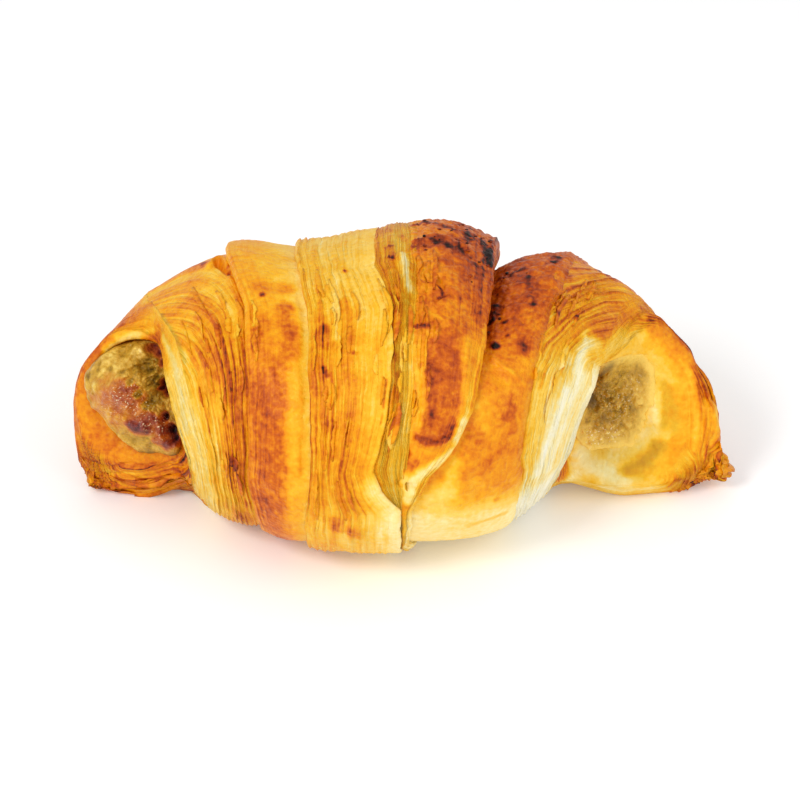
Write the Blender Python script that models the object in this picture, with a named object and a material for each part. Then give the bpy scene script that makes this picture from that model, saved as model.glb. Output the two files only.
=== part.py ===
"""A pistachio-filled croissant, as it lies on its baked base: one piece of rolled dough with open ends, and the
filling that runs through it and shows in both ends.

+X runs along the croissant to the viewer's right, +Y away from the viewer, +Z up. The origin is at the middle of
the base. The dough is swept loop by loop, because the loops follow its flaky layers: a body of overlapping wraps,
and a small roll at each end whose mouth turns to the viewer.
"""

import math
from typing import NamedTuple

import bmesh
import bpy
import numpy as np
from mathutils import Matrix

MM = 0.001

# Driving dimensions, in metres
LENGTH = 152 * MM
UNIT = LENGTH / 152.8  # the tables of loops are in this unit
GAP = 0.3 * MM  # between the dough and its filling

WALL = 3.4 * UNIT  # the dough round each mouth
LIP_ROLL = 1.2 * UNIT  # how far the rounded lip stands out past its loop
STEP_RUN = 0.04  # half the length of the step between two wraps, in loops
CAP_DIP = 3.0 * UNIT  # how hollow the body is behind its rims
LEFT_DEPTH = 12.0 * UNIT  # how deep each mouth is
RIGHT_DEPTH = 9.0 * UNIT

BODY_AROUND = 46
ROLL_AROUND = 36
FILLING_AROUND = 22
HALF = 0.5
UPPER_SQUARE = 2.1


class Ring(NamedTuple):
    """One loop of dough, by its front and back points seen from above and by its heights at the base and crown.

    tip is how far its crown leans back, in degrees. lean_up and lean_down shift its crown and its base along X.
    square is the exponent of its lower half: 2 is an ellipse.
    """

    front: tuple
    back: tuple
    low: float
    high: float
    tip: float = 0.0
    lean_up: float = 0.0
    lean_down: float = 0.0
    square: float = 2.1


class Flake(NamedTuple):
    """A torn flaky corner that stands out from an end roll at a loop and an angle, in degrees."""

    loop: float
    angle: float
    reach: float
    spread: float = 15.0


# Loops of the body from the left rim to the right rim
BODY = [
    Ring((-46.5, -21), (-56, 34), 1, 45, lean_up=-5.5, lean_down=2),
    Ring((-34, -30), (-41, 40), -1.5, 57.5, lean_up=-2, lean_down=4),
    Ring((-21, -36.5), (-24, 40), -1.5, 59, lean_up=-1, lean_down=1),
    Ring((-6, -39), (-6, 41), -2, 63),
    Ring((8, -38.5), (8, 41), -2, 65, lean_down=-1),
    Ring((17, -35.5), (23, 41), -2, 62, lean_down=-4),
    Ring((28, -28.5), (42, 40), -1, 55, lean_up=2, lean_down=-8),
    Ring((36.5, -16), (57, 31), 2, 43, lean_up=4, lean_down=-9),
]

# Loops of the two end rolls, from inside the body to the mouth
LEFT_ROLL = [
    Ring((-36, 6), (-44, 34), 4, 41),
    Ring((-45, 3), (-57, 31), 1, 42, square=2.3),
    Ring((-45.5, 1.5), (-69, 23), -1, 41.5, tip=4, square=2.8),
    Ring((-45.5, 1), (-75, 9), -0.5, 41, tip=12, square=3.0),
    Ring((-46.5, -1.5), (-73.6, 4), 12, 41.5, tip=24, square=2.4),
]
RIGHT_ROLL = [
    Ring((36, 9), (47, 33), 4, 42),
    Ring((36.5, 6), (58, 31), 1, 42, square=2.3),
    Ring((36, 4), (67.5, 21), -1, 39.5, tip=4, square=2.8),
    Ring((35.5, 3), (71.6, 8), -1, 38, tip=11, square=3.6),
    Ring((36, -0.5), (70.3, 3.5), 4.5, 37.5, tip=19, square=3.0),
]
FLAKES = {"left": Flake(3.1, -150, 1.5), "right": Flake(2.9, -112, 6.5, spread=20)}

# Loops of the filling from its lump in the left mouth to its pool in the right one
FILLING = [
    Ring((-57, -5), (-66, -2), 20, 34, tip=24),
    Ring((-50.5, -2.5), (-71, 3), 14.5, 38.5, tip=24),
    Ring((-49.5, 1), (-72, 8), 13.5, 39, tip=22),
    Ring((-49.5, 5), (-70, 16), 13, 38, tip=16),
    Ring((-48, 10), (-63, 24), 13, 36, tip=8),
    Ring((-40, 10), (-43, 27), 14, 34),
    Ring((0, -8), (0, 14), 16, 36),
    Ring((36, 8), (42, 26), 14, 34),
    Ring((41, 9), (56, 21), 13, 32, tip=6),
    Ring((40, 6.5), (57, 12), 12, 33, tip=12),
    Ring((43, 4.5), (54, 7.5), 15, 29, tip=18),
]


class Edge(NamedTuple):
    """Where one wrap ends on the next: the body loop that it lies on at angles round the dough from the top."""

    angles: tuple
    loops: tuple


# Angles are degrees from the top towards the viewer, so 90 is the front, 180 the base and -90 the back
EDGES = [
    Edge((0,), (0.0,)),
    Edge((-60, -15, 15, 50, 90), (1.15, 1.10, 1.30, 1.25, 1.05)),
    Edge((-60, -15, 15, 70, 110), (2.05, 2.03, 2.18, 2.18, 2.00)),
    Edge((-60, 0, 20, 48, 63, 80), (3.00, 2.98, 3.25, 3.20, 3.12, 2.90)),
    Edge((-60, 0, 50, 90), (3.50, 3.55, 3.50, 3.25)),
    Edge((-60, 3, 35, 52, 60, 66, 73, 84, 130), (4.95, 4.95, 4.90, 4.75, 4.62, 4.35, 4.05, 3.60, 3.45)),
    Edge((-60, 0, 30, 80, 120), (5.95, 5.85, 5.70, 5.65, 5.90)),
    Edge((0,), (7.0,)),
]


class Wrap(NamedTuple):
    """How far a wrap's surface stands off the body's loops, in units, at its left edge, crown and right edge."""

    top: tuple
    side: tuple
    ridges: float = 0.0  # height of its flaky layers, in units
    layers: float = 0.0  # how many of them it shows
    loops: int = 8  # mesh loops across it


WRAPS = [
    Wrap((0.2, -0.9, -2.4), (0.0, 0.3, -0.7), ridges=0.45, layers=4, loops=13),
    Wrap((1.2, 1.1, -0.3), (0.7, 0.9, -0.4), ridges=0.10, layers=3, loops=8),
    Wrap((1.5, 1.3, 1.2), (1.0, 1.3, 1.3), ridges=0.22, layers=4, loops=10),
    Wrap((0.2, 0.5, 0.4), (0.1, 0.4, 0.2), ridges=0.10, layers=1, loops=3),
    Wrap((0.5, 1.2, -1.0), (0.0, 0.9, 0.4), ridges=0.22, layers=4, loops=11),
    Wrap((-9.5, -4.0, -0.8), (-1.3, -0.3, 0.4), ridges=0.10, layers=2, loops=9),
    Wrap((-1.0, -0.3, -1.6), (-0.8, 0.1, 0.0), ridges=0.45, layers=4, loops=13),
]
CREST = -25.0  # the middle of a wrap's top form, in degrees
TOP_HALF_ANGLE = 35.0  # a wrap has its top form within this angle of the crest
SIDE_ANGLE = 88.0  # and its side form from here down
LUMPS = 0.5 * UNIT  # soft unevenness all over
LUMP_LENGTH = 21 * UNIT
FILLING_LUMPS = 1.1 * UNIT
LUMP_BULGE = 1.5 * UNIT  # how far the middle of the filling's lump stands out
ROLL_RIDGE = 0.35 * UNIT
ROLL_LAYERS = 5

CRUST_COLOUR = (0.72, 0.36, 0.07, 1.0)
FILLING_COLOUR = (0.42, 0.36, 0.11, 1.0)


def spline(t, values):
    """A smooth curve through values at 0, 1, 2 and on, read at t."""
    slopes = np.gradient(values)
    i = np.clip(np.floor(t).astype(int), 0, len(values) - 2)
    u = t - i
    rise = u * u * (3 - 2 * u)
    return (
        values[i] * (1 - rise)
        + values[i + 1] * rise
        + slopes[i] * u * (1 - u) ** 2
        - slopes[i + 1] * u * u * (1 - u)
    )


def smoothstep(x, low, high):
    """0 below low, 1 above high, and a soft rise between them."""
    t = np.clip((x - low) / (high - low), 0, 1)
    return t * t * (3 - 2 * t)


def signed_power(value, exponent):
    """A power of a value's size, with its sign."""
    return np.sign(value) * np.abs(value) ** exponent


def lumps(points, length, seed):
    """Soft unevenness between about -1 and 1 at points, with humps of about a length."""
    rng = np.random.default_rng(seed)
    waves = rng.normal(size=(7, 3)) * (2 * math.pi / length) * HALF
    starts = rng.uniform(0, 2 * math.pi, 7)
    return np.sin(points @ waves.T + starts).sum(-1) / 3


def loop_points(rings, loop, angle):
    """Points on the swept form, and the directions square to its loops outwards, at loops and angles in degrees."""
    table = [[*ring.front, *ring.back, *ring[2:]] for ring in rings]
    columns = [spline(loop, np.array(column, float)) for column in zip(*table)]
    front_x, front_y, back_x, back_y, low, high, tip, lean_up, lean_down, square = columns
    tip, around = np.radians(tip), np.radians(angle)
    wide, tall = np.hypot(back_x - front_x, back_y - front_y) * HALF, (high - low) * HALF
    back = np.stack([back_x - front_x, back_y - front_y], -1) / (2 * wide)[..., None]
    away = np.stack([-back[..., 1], back[..., 0]], -1) * np.sign(back[..., :1]) * np.sin(tip)[..., None]
    side, rise = np.sin(around), np.cos(around)
    exponent = 2 / np.where(rise > 0, UPPER_SQUARE, square)
    out, up = signed_power(side, exponent), signed_power(rise, exponent)
    middle = np.stack([(front_x + back_x) * HALF, (front_y + back_y) * HALF], -1)
    flat = middle - back * (wide * out)[..., None] + away * (tall * up)[..., None]
    flat[..., 0] += np.where(rise > 0, lean_up * up, -lean_down * up)
    height = (low + high) * HALF + tall * up * np.cos(tip)
    points = np.concatenate([flat, height[..., None]], -1) * UNIT
    level = away * rise[..., None] - back * side[..., None]
    outward = np.concatenate([level, (rise * np.cos(tip))[..., None]], -1)
    return points, outward / np.linalg.norm(outward, axis=-1, keepdims=True)


def on_the_table(points):
    """The points with all that would be below the table pressed flat on it."""
    points[..., 2] = np.maximum(points[..., 2], 0)
    return points


def edge_loop(edge, angle):
    """The body loop that an edge lies on at an angle."""
    return np.interp(angle, edge.angles, edge.loops, period=360)


def angles_around(count):
    """Angles for count points round a loop, closer together at the front and the top than on the base."""
    even = np.arange(count) * (2 * math.pi / count)
    return np.degrees(even + 0.35 * np.sin(even - math.radians(40))) % 360 - 180


def wrap_relief(index, share, angle):
    """How far wrap index stands off its loops, in metres, at a share of the way across it."""
    wrap = WRAPS[index]
    on_side = smoothstep(np.abs(angle - CREST), TOP_HALF_ANGLE, SIDE_ANGLE)
    left, crown, right = (t + (s - t) * on_side for t, s in zip(wrap.top, wrap.side))
    bend = 2 * (left + right - 2 * crown)
    height = left + (right - left) * share - bend * share * (1 - share)
    drift = 0.6 * np.sin(np.radians(angle) * 2 + index)
    layers = wrap.ridges * np.sin(2 * math.pi * (wrap.layers * share + 0.15 * drift)) * np.sin(math.pi * share)
    return (height + layers) * UNIT


def body_loops():
    """The loops of the body's surface, from the left rim to the right one, as an array of points."""
    angle = angles_around(BODY_AROUND)
    loops = []
    for index, wrap in enumerate(WRAPS):
        left, right = edge_loop(EDGES[index], angle), edge_loop(EDGES[index + 1], angle)
        for share in np.linspace(0, 1, wrap.loops):
            across = left + (right - left) * share
            if index > 0 and share == 0:
                across = across + STEP_RUN
            if index < len(WRAPS) - 1 and share == 1:
                across = across - STEP_RUN
            points, outward = loop_points(BODY, across, angle)
            relief = wrap_relief(index, share, angle) + LUMPS * lumps(points, LUMP_LENGTH, 3)
            loops.append(on_the_table(points + outward * relief[:, None]))
    return np.array(loops)


def roll_loops(rings, flake, seed):
    """The outer loops of an end roll, from inside the body to the edge of its mouth."""
    angle = -180 + np.arange(ROLL_AROUND) * 360 / ROLL_AROUND
    loops = []
    last = len(rings) - 1
    for loop in np.linspace(0, last, 4 * last + 1):
        points, outward = loop_points(rings, np.full_like(angle, loop), angle)
        relief = ROLL_RIDGE * np.sin(ROLL_LAYERS * math.pi * loop) * smoothstep(loop, 0.5, 1.5)
        relief = relief * smoothstep(last - loop, 0, 0.5) + LUMPS * lumps(points, LUMP_LENGTH, seed)
        away = np.hypot((angle - flake.angle) / flake.spread, (loop - flake.loop) / HALF)
        relief = relief + flake.reach * UNIT * np.exp(-(away**2))
        loops.append(on_the_table(points + outward * relief[:, None]))
    return np.array(loops)


def mouth_normal(loop):
    """The direction in which a mouth faces, from its edge loop."""
    centre = loop.mean(0)
    normal = np.cross(loop - centre, np.roll(loop, -1, axis=0) - centre).sum(0)
    normal /= np.linalg.norm(normal)
    return normal if normal[1] < 0 else -normal


def shrunk(loop, by):
    """A loop drawn in towards its centre by a length at every point."""
    centre = loop.mean(0)
    arm = loop - centre
    return loop - arm / np.linalg.norm(arm, axis=1, keepdims=True) * by


def scaled(loop, share):
    """A loop at a share of its size about its centre."""
    centre = loop.mean(0)
    return centre + (loop - centre) * share


def mouth_loops(edge, depth):
    """The rounded lip and the hollow inside a roll's mouth, from its edge loop inwards."""
    facing = mouth_normal(edge)
    lip = shrunk(edge, WALL * HALF) + facing * LIP_ROLL
    inner = shrunk(edge, WALL)
    steps = ((0.97, 0.25), (0.88, 0.6), (0.7, 0.88), (0.35, 1.0))  # size and depth, as shares
    return [lip, inner, *(scaled(inner, size) - facing * depth * back for size, back in steps)]


def mouth_cutter_loops(edge, depth):
    """Loops of the solid that clears the body out of a roll's mouth and from in front of it."""
    facing = mouth_normal(edge)
    wide = shrunk(edge, WALL)
    steps = ((1.12, -1.2), (1.03, 0.1), (0.93, 0.62), (0.75, 0.9), (0.4, 1.04))
    return [scaled(wide, size) - facing * depth * back for size, back in steps]


def filling_loops(grow):
    """The loops of the filling, grown outwards by a length."""
    angle = -180 + np.arange(FILLING_AROUND) * 360 / FILLING_AROUND
    loops = []
    last = len(FILLING) - 1
    for loop in np.linspace(0, last, 3 * last + 1):
        points, outward = loop_points(FILLING, np.full_like(angle, loop), angle)
        relief = FILLING_LUMPS * lumps(points, HALF * LUMP_LENGTH, 8) * smoothstep(last / 2 - loop, 2.5, 4.5)
        loops.append(points + outward * (relief + grow)[:, None])
    return np.array(loops)


def skin(name, loops, cap_dips, colour):
    """A closed object over a run of loops, each end closed by a fan to a point pushed along the run by its dip."""
    mesh = bmesh.new()
    rows = [[mesh.verts.new(point) for point in loop] for loop in loops]
    for row, after in zip(rows[:-1], rows[1:]):
        for i, corner in enumerate(row):
            following = (i + 1) % len(row)
            mesh.faces.new((corner, after[i], after[following], row[following]))
    ends = ((rows[0], loops[0], loops[1], cap_dips[0]), (rows[-1], loops[-1], loops[-2], cap_dips[1]))
    for row, loop, inner, dip in ends:
        inwards = inner.mean(0) - loop.mean(0)
        middle = mesh.verts.new(loop.mean(0) + inwards / np.linalg.norm(inwards) * dip)
        for i, corner in enumerate(row):
            mesh.faces.new((corner, row[(i + 1) % len(row)], middle))
    bmesh.ops.recalc_face_normals(mesh, faces=mesh.faces)
    data = bpy.data.meshes.new(name)
    mesh.to_mesh(data)
    mesh.free()
    data.shade_smooth()
    thing = bpy.data.objects.new(name, data)
    bpy.context.scene.collection.objects.link(thing)
    data.materials.append(material(name, colour))
    return thing


def material(name, colour):
    """A plain finish in one colour."""
    made = bpy.data.materials.new(name)
    made.use_nodes = True
    shader = made.node_tree.nodes["Principled BSDF"]
    shader.inputs["Base Color"].default_value = colour
    shader.inputs["Roughness"].default_value = 0.55
    return made


def put_away(name, things):
    """The things in a collection of their own, hidden, for a Boolean to read."""
    group = bpy.data.collections.new(name)
    bpy.context.scene.collection.children.link(group)
    for thing in things:
        bpy.context.scene.collection.objects.unlink(thing)
        group.objects.link(thing)
        thing.hide_render = True
        thing.display_type = "WIRE"
    return group


def boolean(thing, operation, group):
    """Joins a collection's things to thing, or cuts them out of it."""
    modifier = thing.modifiers.new(group.name, "BOOLEAN")
    modifier.operation = operation
    modifier.operand_type = "COLLECTION"
    modifier.collection = group


def build_dough():
    """The rolled dough in one piece: the body, the two end rolls, and the way through for the filling."""
    dough = skin("dough", body_loops(), (CAP_DIP, CAP_DIP), CRUST_COLOUR)
    rolls, cutters = [], []
    for side, rings, depth, seed in (("left", LEFT_ROLL, LEFT_DEPTH, 4), ("right", RIGHT_ROLL, RIGHT_DEPTH, 5)):
        outer = roll_loops(rings, FLAKES[side], seed)
        rolls.append(skin(side + "_roll", [*outer, *mouth_loops(outer[-1], depth)], (0, 0), CRUST_COLOUR))
        cutters.append(skin(side + "_mouth", mouth_cutter_loops(outer[-1], depth), (0, 0), CRUST_COLOUR))
    boolean(dough, "DIFFERENCE", put_away("mouth_cutters", cutters))
    boolean(dough, "UNION", put_away("end_rolls", rolls))
    way = skin("filling_way", filling_loops(GAP), (-LUMP_BULGE - GAP, -GAP), FILLING_COLOUR)
    boolean(dough, "DIFFERENCE", put_away("way_cutters", [way]))
    return dough


def build_filling():
    """The filling in one piece, from the lump in the left mouth to the pool in the right one."""
    return skin("filling", filling_loops(0), (-LUMP_BULGE, 0), FILLING_COLOUR)


def centre_on_origin():
    """Moves every mesh so that the middle of the dough's outside is over the origin."""
    outside = [bpy.data.objects[name] for name in ("dough", "left_roll", "right_roll")]
    corners = np.array([corner.co for thing in outside for corner in thing.data.vertices])
    middle = (corners.min(0) + corners.max(0)) * HALF
    for thing in bpy.data.objects:
        thing.data.transform(Matrix.Translation((-middle[0], -middle[1], 0)))


for left_over in list(bpy.data.objects):
    bpy.data.objects.remove(left_over)
build_dough()
build_filling()
centre_on_origin()
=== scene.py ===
"""The looks of a pistachio-filled croissant: flaky browned dough in overlapping wraps, and its filling.

Lengths in the tables are millimetres and angles are degrees. An angle goes round the dough from the top (0)
to the viewer's side (90), the base (180) and the back (-90).
"""

import logging
import math
from dataclasses import dataclass, field
from enum import Enum, IntEnum
from typing import NamedTuple

import bpy
import numpy as np
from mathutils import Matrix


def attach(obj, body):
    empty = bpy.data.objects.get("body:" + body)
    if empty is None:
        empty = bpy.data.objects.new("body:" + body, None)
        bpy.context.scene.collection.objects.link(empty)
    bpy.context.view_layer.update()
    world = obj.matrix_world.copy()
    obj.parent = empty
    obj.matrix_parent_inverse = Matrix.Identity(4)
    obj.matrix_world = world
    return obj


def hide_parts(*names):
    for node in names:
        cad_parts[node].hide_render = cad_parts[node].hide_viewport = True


Array = np.ndarray
Triple = tuple[float, float, float]

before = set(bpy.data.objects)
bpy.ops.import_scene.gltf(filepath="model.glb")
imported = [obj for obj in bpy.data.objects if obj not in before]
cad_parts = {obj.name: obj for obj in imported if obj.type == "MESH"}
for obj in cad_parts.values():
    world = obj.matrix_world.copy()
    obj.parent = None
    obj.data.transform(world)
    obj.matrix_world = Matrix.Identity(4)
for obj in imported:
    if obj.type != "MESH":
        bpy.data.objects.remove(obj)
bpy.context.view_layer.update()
REPORT = logging.getLogger("croissant")

MM = 0.001
ELEVATION = 36.0  # how far the photograph looks down on the croissant
UNIT = 152 / 152.8  # brings the rings to the part's length, 152 mm
MIDDLE = np.array([0.7372, 1.1881, 0.0])  # where the rings have the middle of the part's base
LOOP_MM = 12.5  # how far apart two loops of the body are, about
DEGREE_MM = 0.62  # how far a degree goes round the dough, about
BARREL = 35.0  # the dough's radius, about
UPPER_SQUARE = 2.1  # the exponent of the upper half of every ring: 2 is an ellipse


def smoothstep(x: Array, low: float, high: float) -> Array:
    """0 below low, 1 above high, and a soft rise between them."""
    t = np.clip((np.asarray(x, float) - low) / (high - low), 0, 1)
    return t * t * (3 - 2 * t)


def signed_power(value: Array, exponent: Array) -> Array:
    """A power of a value's size, with its sign."""
    return np.sign(value) * np.abs(value) ** exponent


def spline(t: Array, values: Array) -> Array:
    """A smooth curve through values.

    Args:
        t: Where it is read: 0 is the first value, 1 the next, and so on.
        values: The values that it runs through.

    Returns:
        The curve's values there.
    """
    slopes = np.gradient(values)
    i = np.clip(np.floor(t).astype(int), 0, len(values) - 2)
    u = t - i
    rise = u * u * (3 - 2 * u)
    flat = values[i] * (1 - rise) + values[i + 1] * rise
    return flat + slopes[i] * u * (1 - u) ** 2 - slopes[i + 1] * u * u * (1 - u)


def unit(ways: Array) -> Array:
    """Directions of length 1."""
    return ways / np.linalg.norm(ways, axis=-1, keepdims=True)


def towards_viewer(ring: Array, middle: Array) -> Array:
    """The direction square to a ring of points round a middle, on the viewer's side."""
    way = np.cross(ring[:-1] - middle, ring[1:] - middle).sum(0)
    return way / np.linalg.norm(way) * (1 if way[1] < 0 else -1)


def turned_once(angle: Array | float) -> Array | float:
    """An angle brought between -180 and 180."""
    return (angle + 180) % 360 - 180


class Grain:
    """Seeded soft noise in space, between about -1 and 1."""

    CELLS = 256  # the noise repeats after so many, a power of two
    GAIN = 1.6  # brings it to about -1 to 1

    def __init__(self, seed: int) -> None:
        """Draws the noise's table.

        Args:
            seed: The seed that it is drawn from.
        """
        rng = np.random.default_rng(seed)
        self.order = np.concatenate([rng.permutation(self.CELLS)] * 2)
        self.ways = unit(rng.normal(size=(self.CELLS, 3)))

    def at(self, x: Array, y: Array, z: Array) -> Array:
        """The noise at points.

        Args:
            x: First coordinates, with a period of humps of about 1.
            y: Second coordinates.
            z: Third coordinates.

        Returns:
            Values between about -1 and 1.
        """
        x, y, z = np.broadcast_arrays(x, y, z)
        cell = [np.floor(v).astype(int) for v in (x, y, z)]
        part = [v - c for v, c in zip((x, y, z), cell)]
        ease = [p**3 * (p * (p * 6 - 15) + 10) for p in part]
        total = np.zeros(x.shape)
        last = self.CELLS - 1
        for corner in range(8):
            step = (corner & 1, corner >> 1 & 1, corner >> 2 & 1)
            key = self.order[(cell[0] + step[0]) & last]
            key = self.order[(key + cell[1] + step[1]) & last]
            way = self.ways[self.order[(key + cell[2] + step[2]) & last]]
            weight = np.ones(x.shape)
            for axis in range(3):
                weight = weight * (ease[axis] if step[axis] else 1 - ease[axis])
            reach = sum(way[..., axis] * (part[axis] - step[axis]) for axis in range(3))
            total = total + weight * reach
        return total * self.GAIN

    def space(self, points: Array, size: float) -> Array:
        """The noise at points in millimetres, with humps of about a size."""
        return self.at(points[..., 0] / size, points[..., 1] / size, points[..., 2] / size)

    def along(self, lamina: Array, angle: Array, across: float, around: float) -> Array:
        """The noise in the dough's layers, stretched round it.

        Args:
            lamina: How far across the layers, in millimetres.
            angle: The angle round the dough.
            across: Size of the humps across the layers, in millimetres.
            around: Size of the humps along the layers, in millimetres.

        Returns:
            Values between about -1 and 1.
        """
        turn = np.radians(angle)
        return self.at(lamina / across, BARREL * np.cos(turn) / around, BARREL * np.sin(turn) / around)


class Ring(NamedTuple):
    """One loop of dough: its front and back points seen from above, and its heights at base and crown."""

    front: tuple[float, float]
    back: tuple[float, float]
    low: float
    high: float
    tip: float = 0.0  # how far its crown leans back
    lean_up: float = 0.0  # how far its crown is shifted along X
    lean_down: float = 0.0  # how far its base is shifted along X
    square: float = 2.1  # the exponent of its lower half


@dataclass(frozen=True)
class Sweep:
    """A form swept through rings."""

    rings: tuple[Ring, ...]

    def at(self, loop: Array, angle: Array) -> tuple[Array, Array]:
        """Points on the form and the directions square to its loops.

        Args:
            loop: Where along the rings, one number for each point.
            angle: The angle round the dough, one for each point.

        Returns:
            The points in millimetres in the part's frame, and the outward directions.
        """
        loop, angle = np.broadcast_arrays(np.asarray(loop, float), np.asarray(angle, float))
        table = [[*ring.front, *ring.back, *ring[2:]] for ring in self.rings]
        columns = [spline(loop, np.array(column, float)) for column in zip(*table)]
        front_x, front_y, back_x, back_y, low, high, tip, lean_up, lean_down, square = columns
        tip, around = np.radians(tip), np.radians(angle)
        wide, tall = np.hypot(back_x - front_x, back_y - front_y) / 2, (high - low) / 2
        back = np.stack([back_x - front_x, back_y - front_y], -1) / (2 * wide)[..., None]
        away = np.stack([-back[..., 1], back[..., 0]], -1) * np.sign(back[..., :1]) * np.sin(tip)[..., None]
        side, rise = np.sin(around), np.cos(around)
        exponent = 2 / np.where(rise > 0, UPPER_SQUARE, square)
        out, up = signed_power(side, exponent), signed_power(rise, exponent)
        middle = np.stack([(front_x + back_x) / 2, (front_y + back_y) / 2], -1)
        flat = middle - back * (wide * out)[..., None] + away * (tall * up)[..., None]
        flat[..., 0] += np.where(rise > 0, lean_up * up, -lean_down * up)
        height = (low + high) / 2 + tall * up * np.cos(tip)
        points = np.concatenate([flat, height[..., None]], -1) * UNIT - MIDDLE
        level = away * rise[..., None] - back * side[..., None]
        outward = np.concatenate([level, (rise * np.cos(tip))[..., None]], -1)
        return points, unit(outward)


BODY = Sweep((
    Ring((-46.5, -21), (-56, 34), 1, 45, lean_up=-5.5, lean_down=2),
    Ring((-34, -30), (-41, 40), -1.5, 57.5, lean_up=-2, lean_down=4),
    Ring((-21, -36.5), (-24, 40), -1.5, 59, lean_up=-1, lean_down=1),
    Ring((-6, -39), (-6, 41), -2, 63),
    Ring((8, -38.5), (8, 41), -2, 65, lean_down=-1),
    Ring((17, -35.5), (23, 41), -2, 62, lean_down=-4),
    Ring((28, -28.5), (42, 40), -1, 55, lean_up=2, lean_down=-8),
    Ring((36.5, -16), (57, 31), 2, 43, lean_up=4, lean_down=-9),
))
LEFT_ROLL = Sweep((
    Ring((-36, 6), (-44, 34), 4, 41),
    Ring((-45, 3), (-57, 31), 1, 42, square=2.3),
    Ring((-45.5, 1.5), (-69, 23), -1, 41.5, tip=4, square=2.8),
    Ring((-45.5, 1), (-75, 9), -0.5, 41, tip=12, square=3.0),
    Ring((-46.5, -1.5), (-73.6, 4), 12, 41.5, tip=24, square=2.4),
))
RIGHT_ROLL = Sweep((
    Ring((36, 9), (47, 33), 4, 42),
    Ring((36.5, 6), (58, 31), 1, 42, square=2.3),
    Ring((36, 4), (67.5, 21), -1, 39.5, tip=4, square=2.8),
    Ring((35.5, 3), (71.6, 8), -1, 38, tip=11, square=3.6),
    Ring((36, -0.5), (70.3, 3.5), 4.5, 37.5, tip=19, square=3.0),
))
CREAM = Sweep((
    Ring((-57, -5), (-66, -2), 20, 34, tip=24),
    Ring((-50.5, -2.5), (-71, 3), 14.5, 38.5, tip=24),
    Ring((-49.5, 1), (-72, 8), 13.5, 39, tip=22),
    Ring((-49.5, 5), (-70, 16), 13, 38, tip=16),
    Ring((-48, 10), (-63, 24), 13, 36, tip=8),
    Ring((-40, 10), (-43, 27), 14, 34),
    Ring((0, -8), (0, 14), 16, 36),
    Ring((36, 8), (42, 26), 14, 34),
    Ring((41, 9), (56, 21), 13, 32, tip=6),
    Ring((40, 6.5), (57, 12), 12, 33, tip=12),
    Ring((43, 4.5), (54, 7.5), 15, 29, tip=18),
))


class Over(Enum):
    """Which of the two wraps at an edge lies over the other."""

    LEFT = -1
    RIGHT = 1


class Edge(NamedTuple):
    """Where one wrap ends on the next: the body loop that it lies on at angles round the dough."""

    angles: tuple[float, ...]
    loops: tuple[float, ...]
    over: Over = Over.RIGHT
    ragged: float = 0.4  # how uneven the edge is
    tooth: float = 5.0  # length of that unevenness
    least: float = 0.35  # the smallest step there

    def at(self, angle: Array) -> Array:
        """The body loop that the edge lies on at an angle."""
        return np.interp(angle, self.angles, self.loops, period=360)


EDGES = (
    Edge((-20, 20, 80, 140, 175), (0.0, 0.26, 0.34, 0.26, 0.0), ragged=0.15),
    Edge((-60, -15, 15, 50, 90), (1.15, 1.1, 1.3, 1.25, 1.05), ragged=0.35, tooth=12),
    Edge((-60, -15, 15, 70, 110), (2.05, 2.03, 2.18, 2.18, 2.0), ragged=0.25, tooth=9, least=0.5),
    Edge((-60, 0, 20, 48, 63, 80, 88, 97, 130), (3.0, 2.98, 3.25, 3.2, 3.12, 2.95, 3.05, 3.34, 3.38),
         Over.LEFT, ragged=0.45, tooth=8, least=0.6),
    Edge((-60, 0, 50, 82, 97, 130), (3.5, 3.55, 3.5, 3.36, 3.4, 3.42), ragged=0.25, tooth=9),
    Edge((-60, 3, 35, 52, 60, 66, 73, 84, 97, 130),
         (4.95, 4.95, 4.9, 4.78, 4.68, 4.5, 4.28, 3.8, 3.5, 3.46), Over.LEFT, ragged=0.5, least=0.7),
    Edge((-60, 0, 30, 80, 120), (5.95, 5.85, 5.7, 5.65, 5.9), ragged=0.4),
    Edge((20, 50, 110, 150), (7.0, 6.94, 6.94, 7.0), ragged=0.0),
)


class Wrap(NamedTuple):
    """A wrap of dough. A row of three values is for its left edge, its middle and its right edge."""

    top: Triple  # how far its top stands off the body's loops
    side: Triple  # how far its sides stand off them
    rows: int
    layered: Triple  # how strongly its layers show
    baked: tuple[Triple, ...]  # how brown its top, its front and its lower front are


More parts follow.
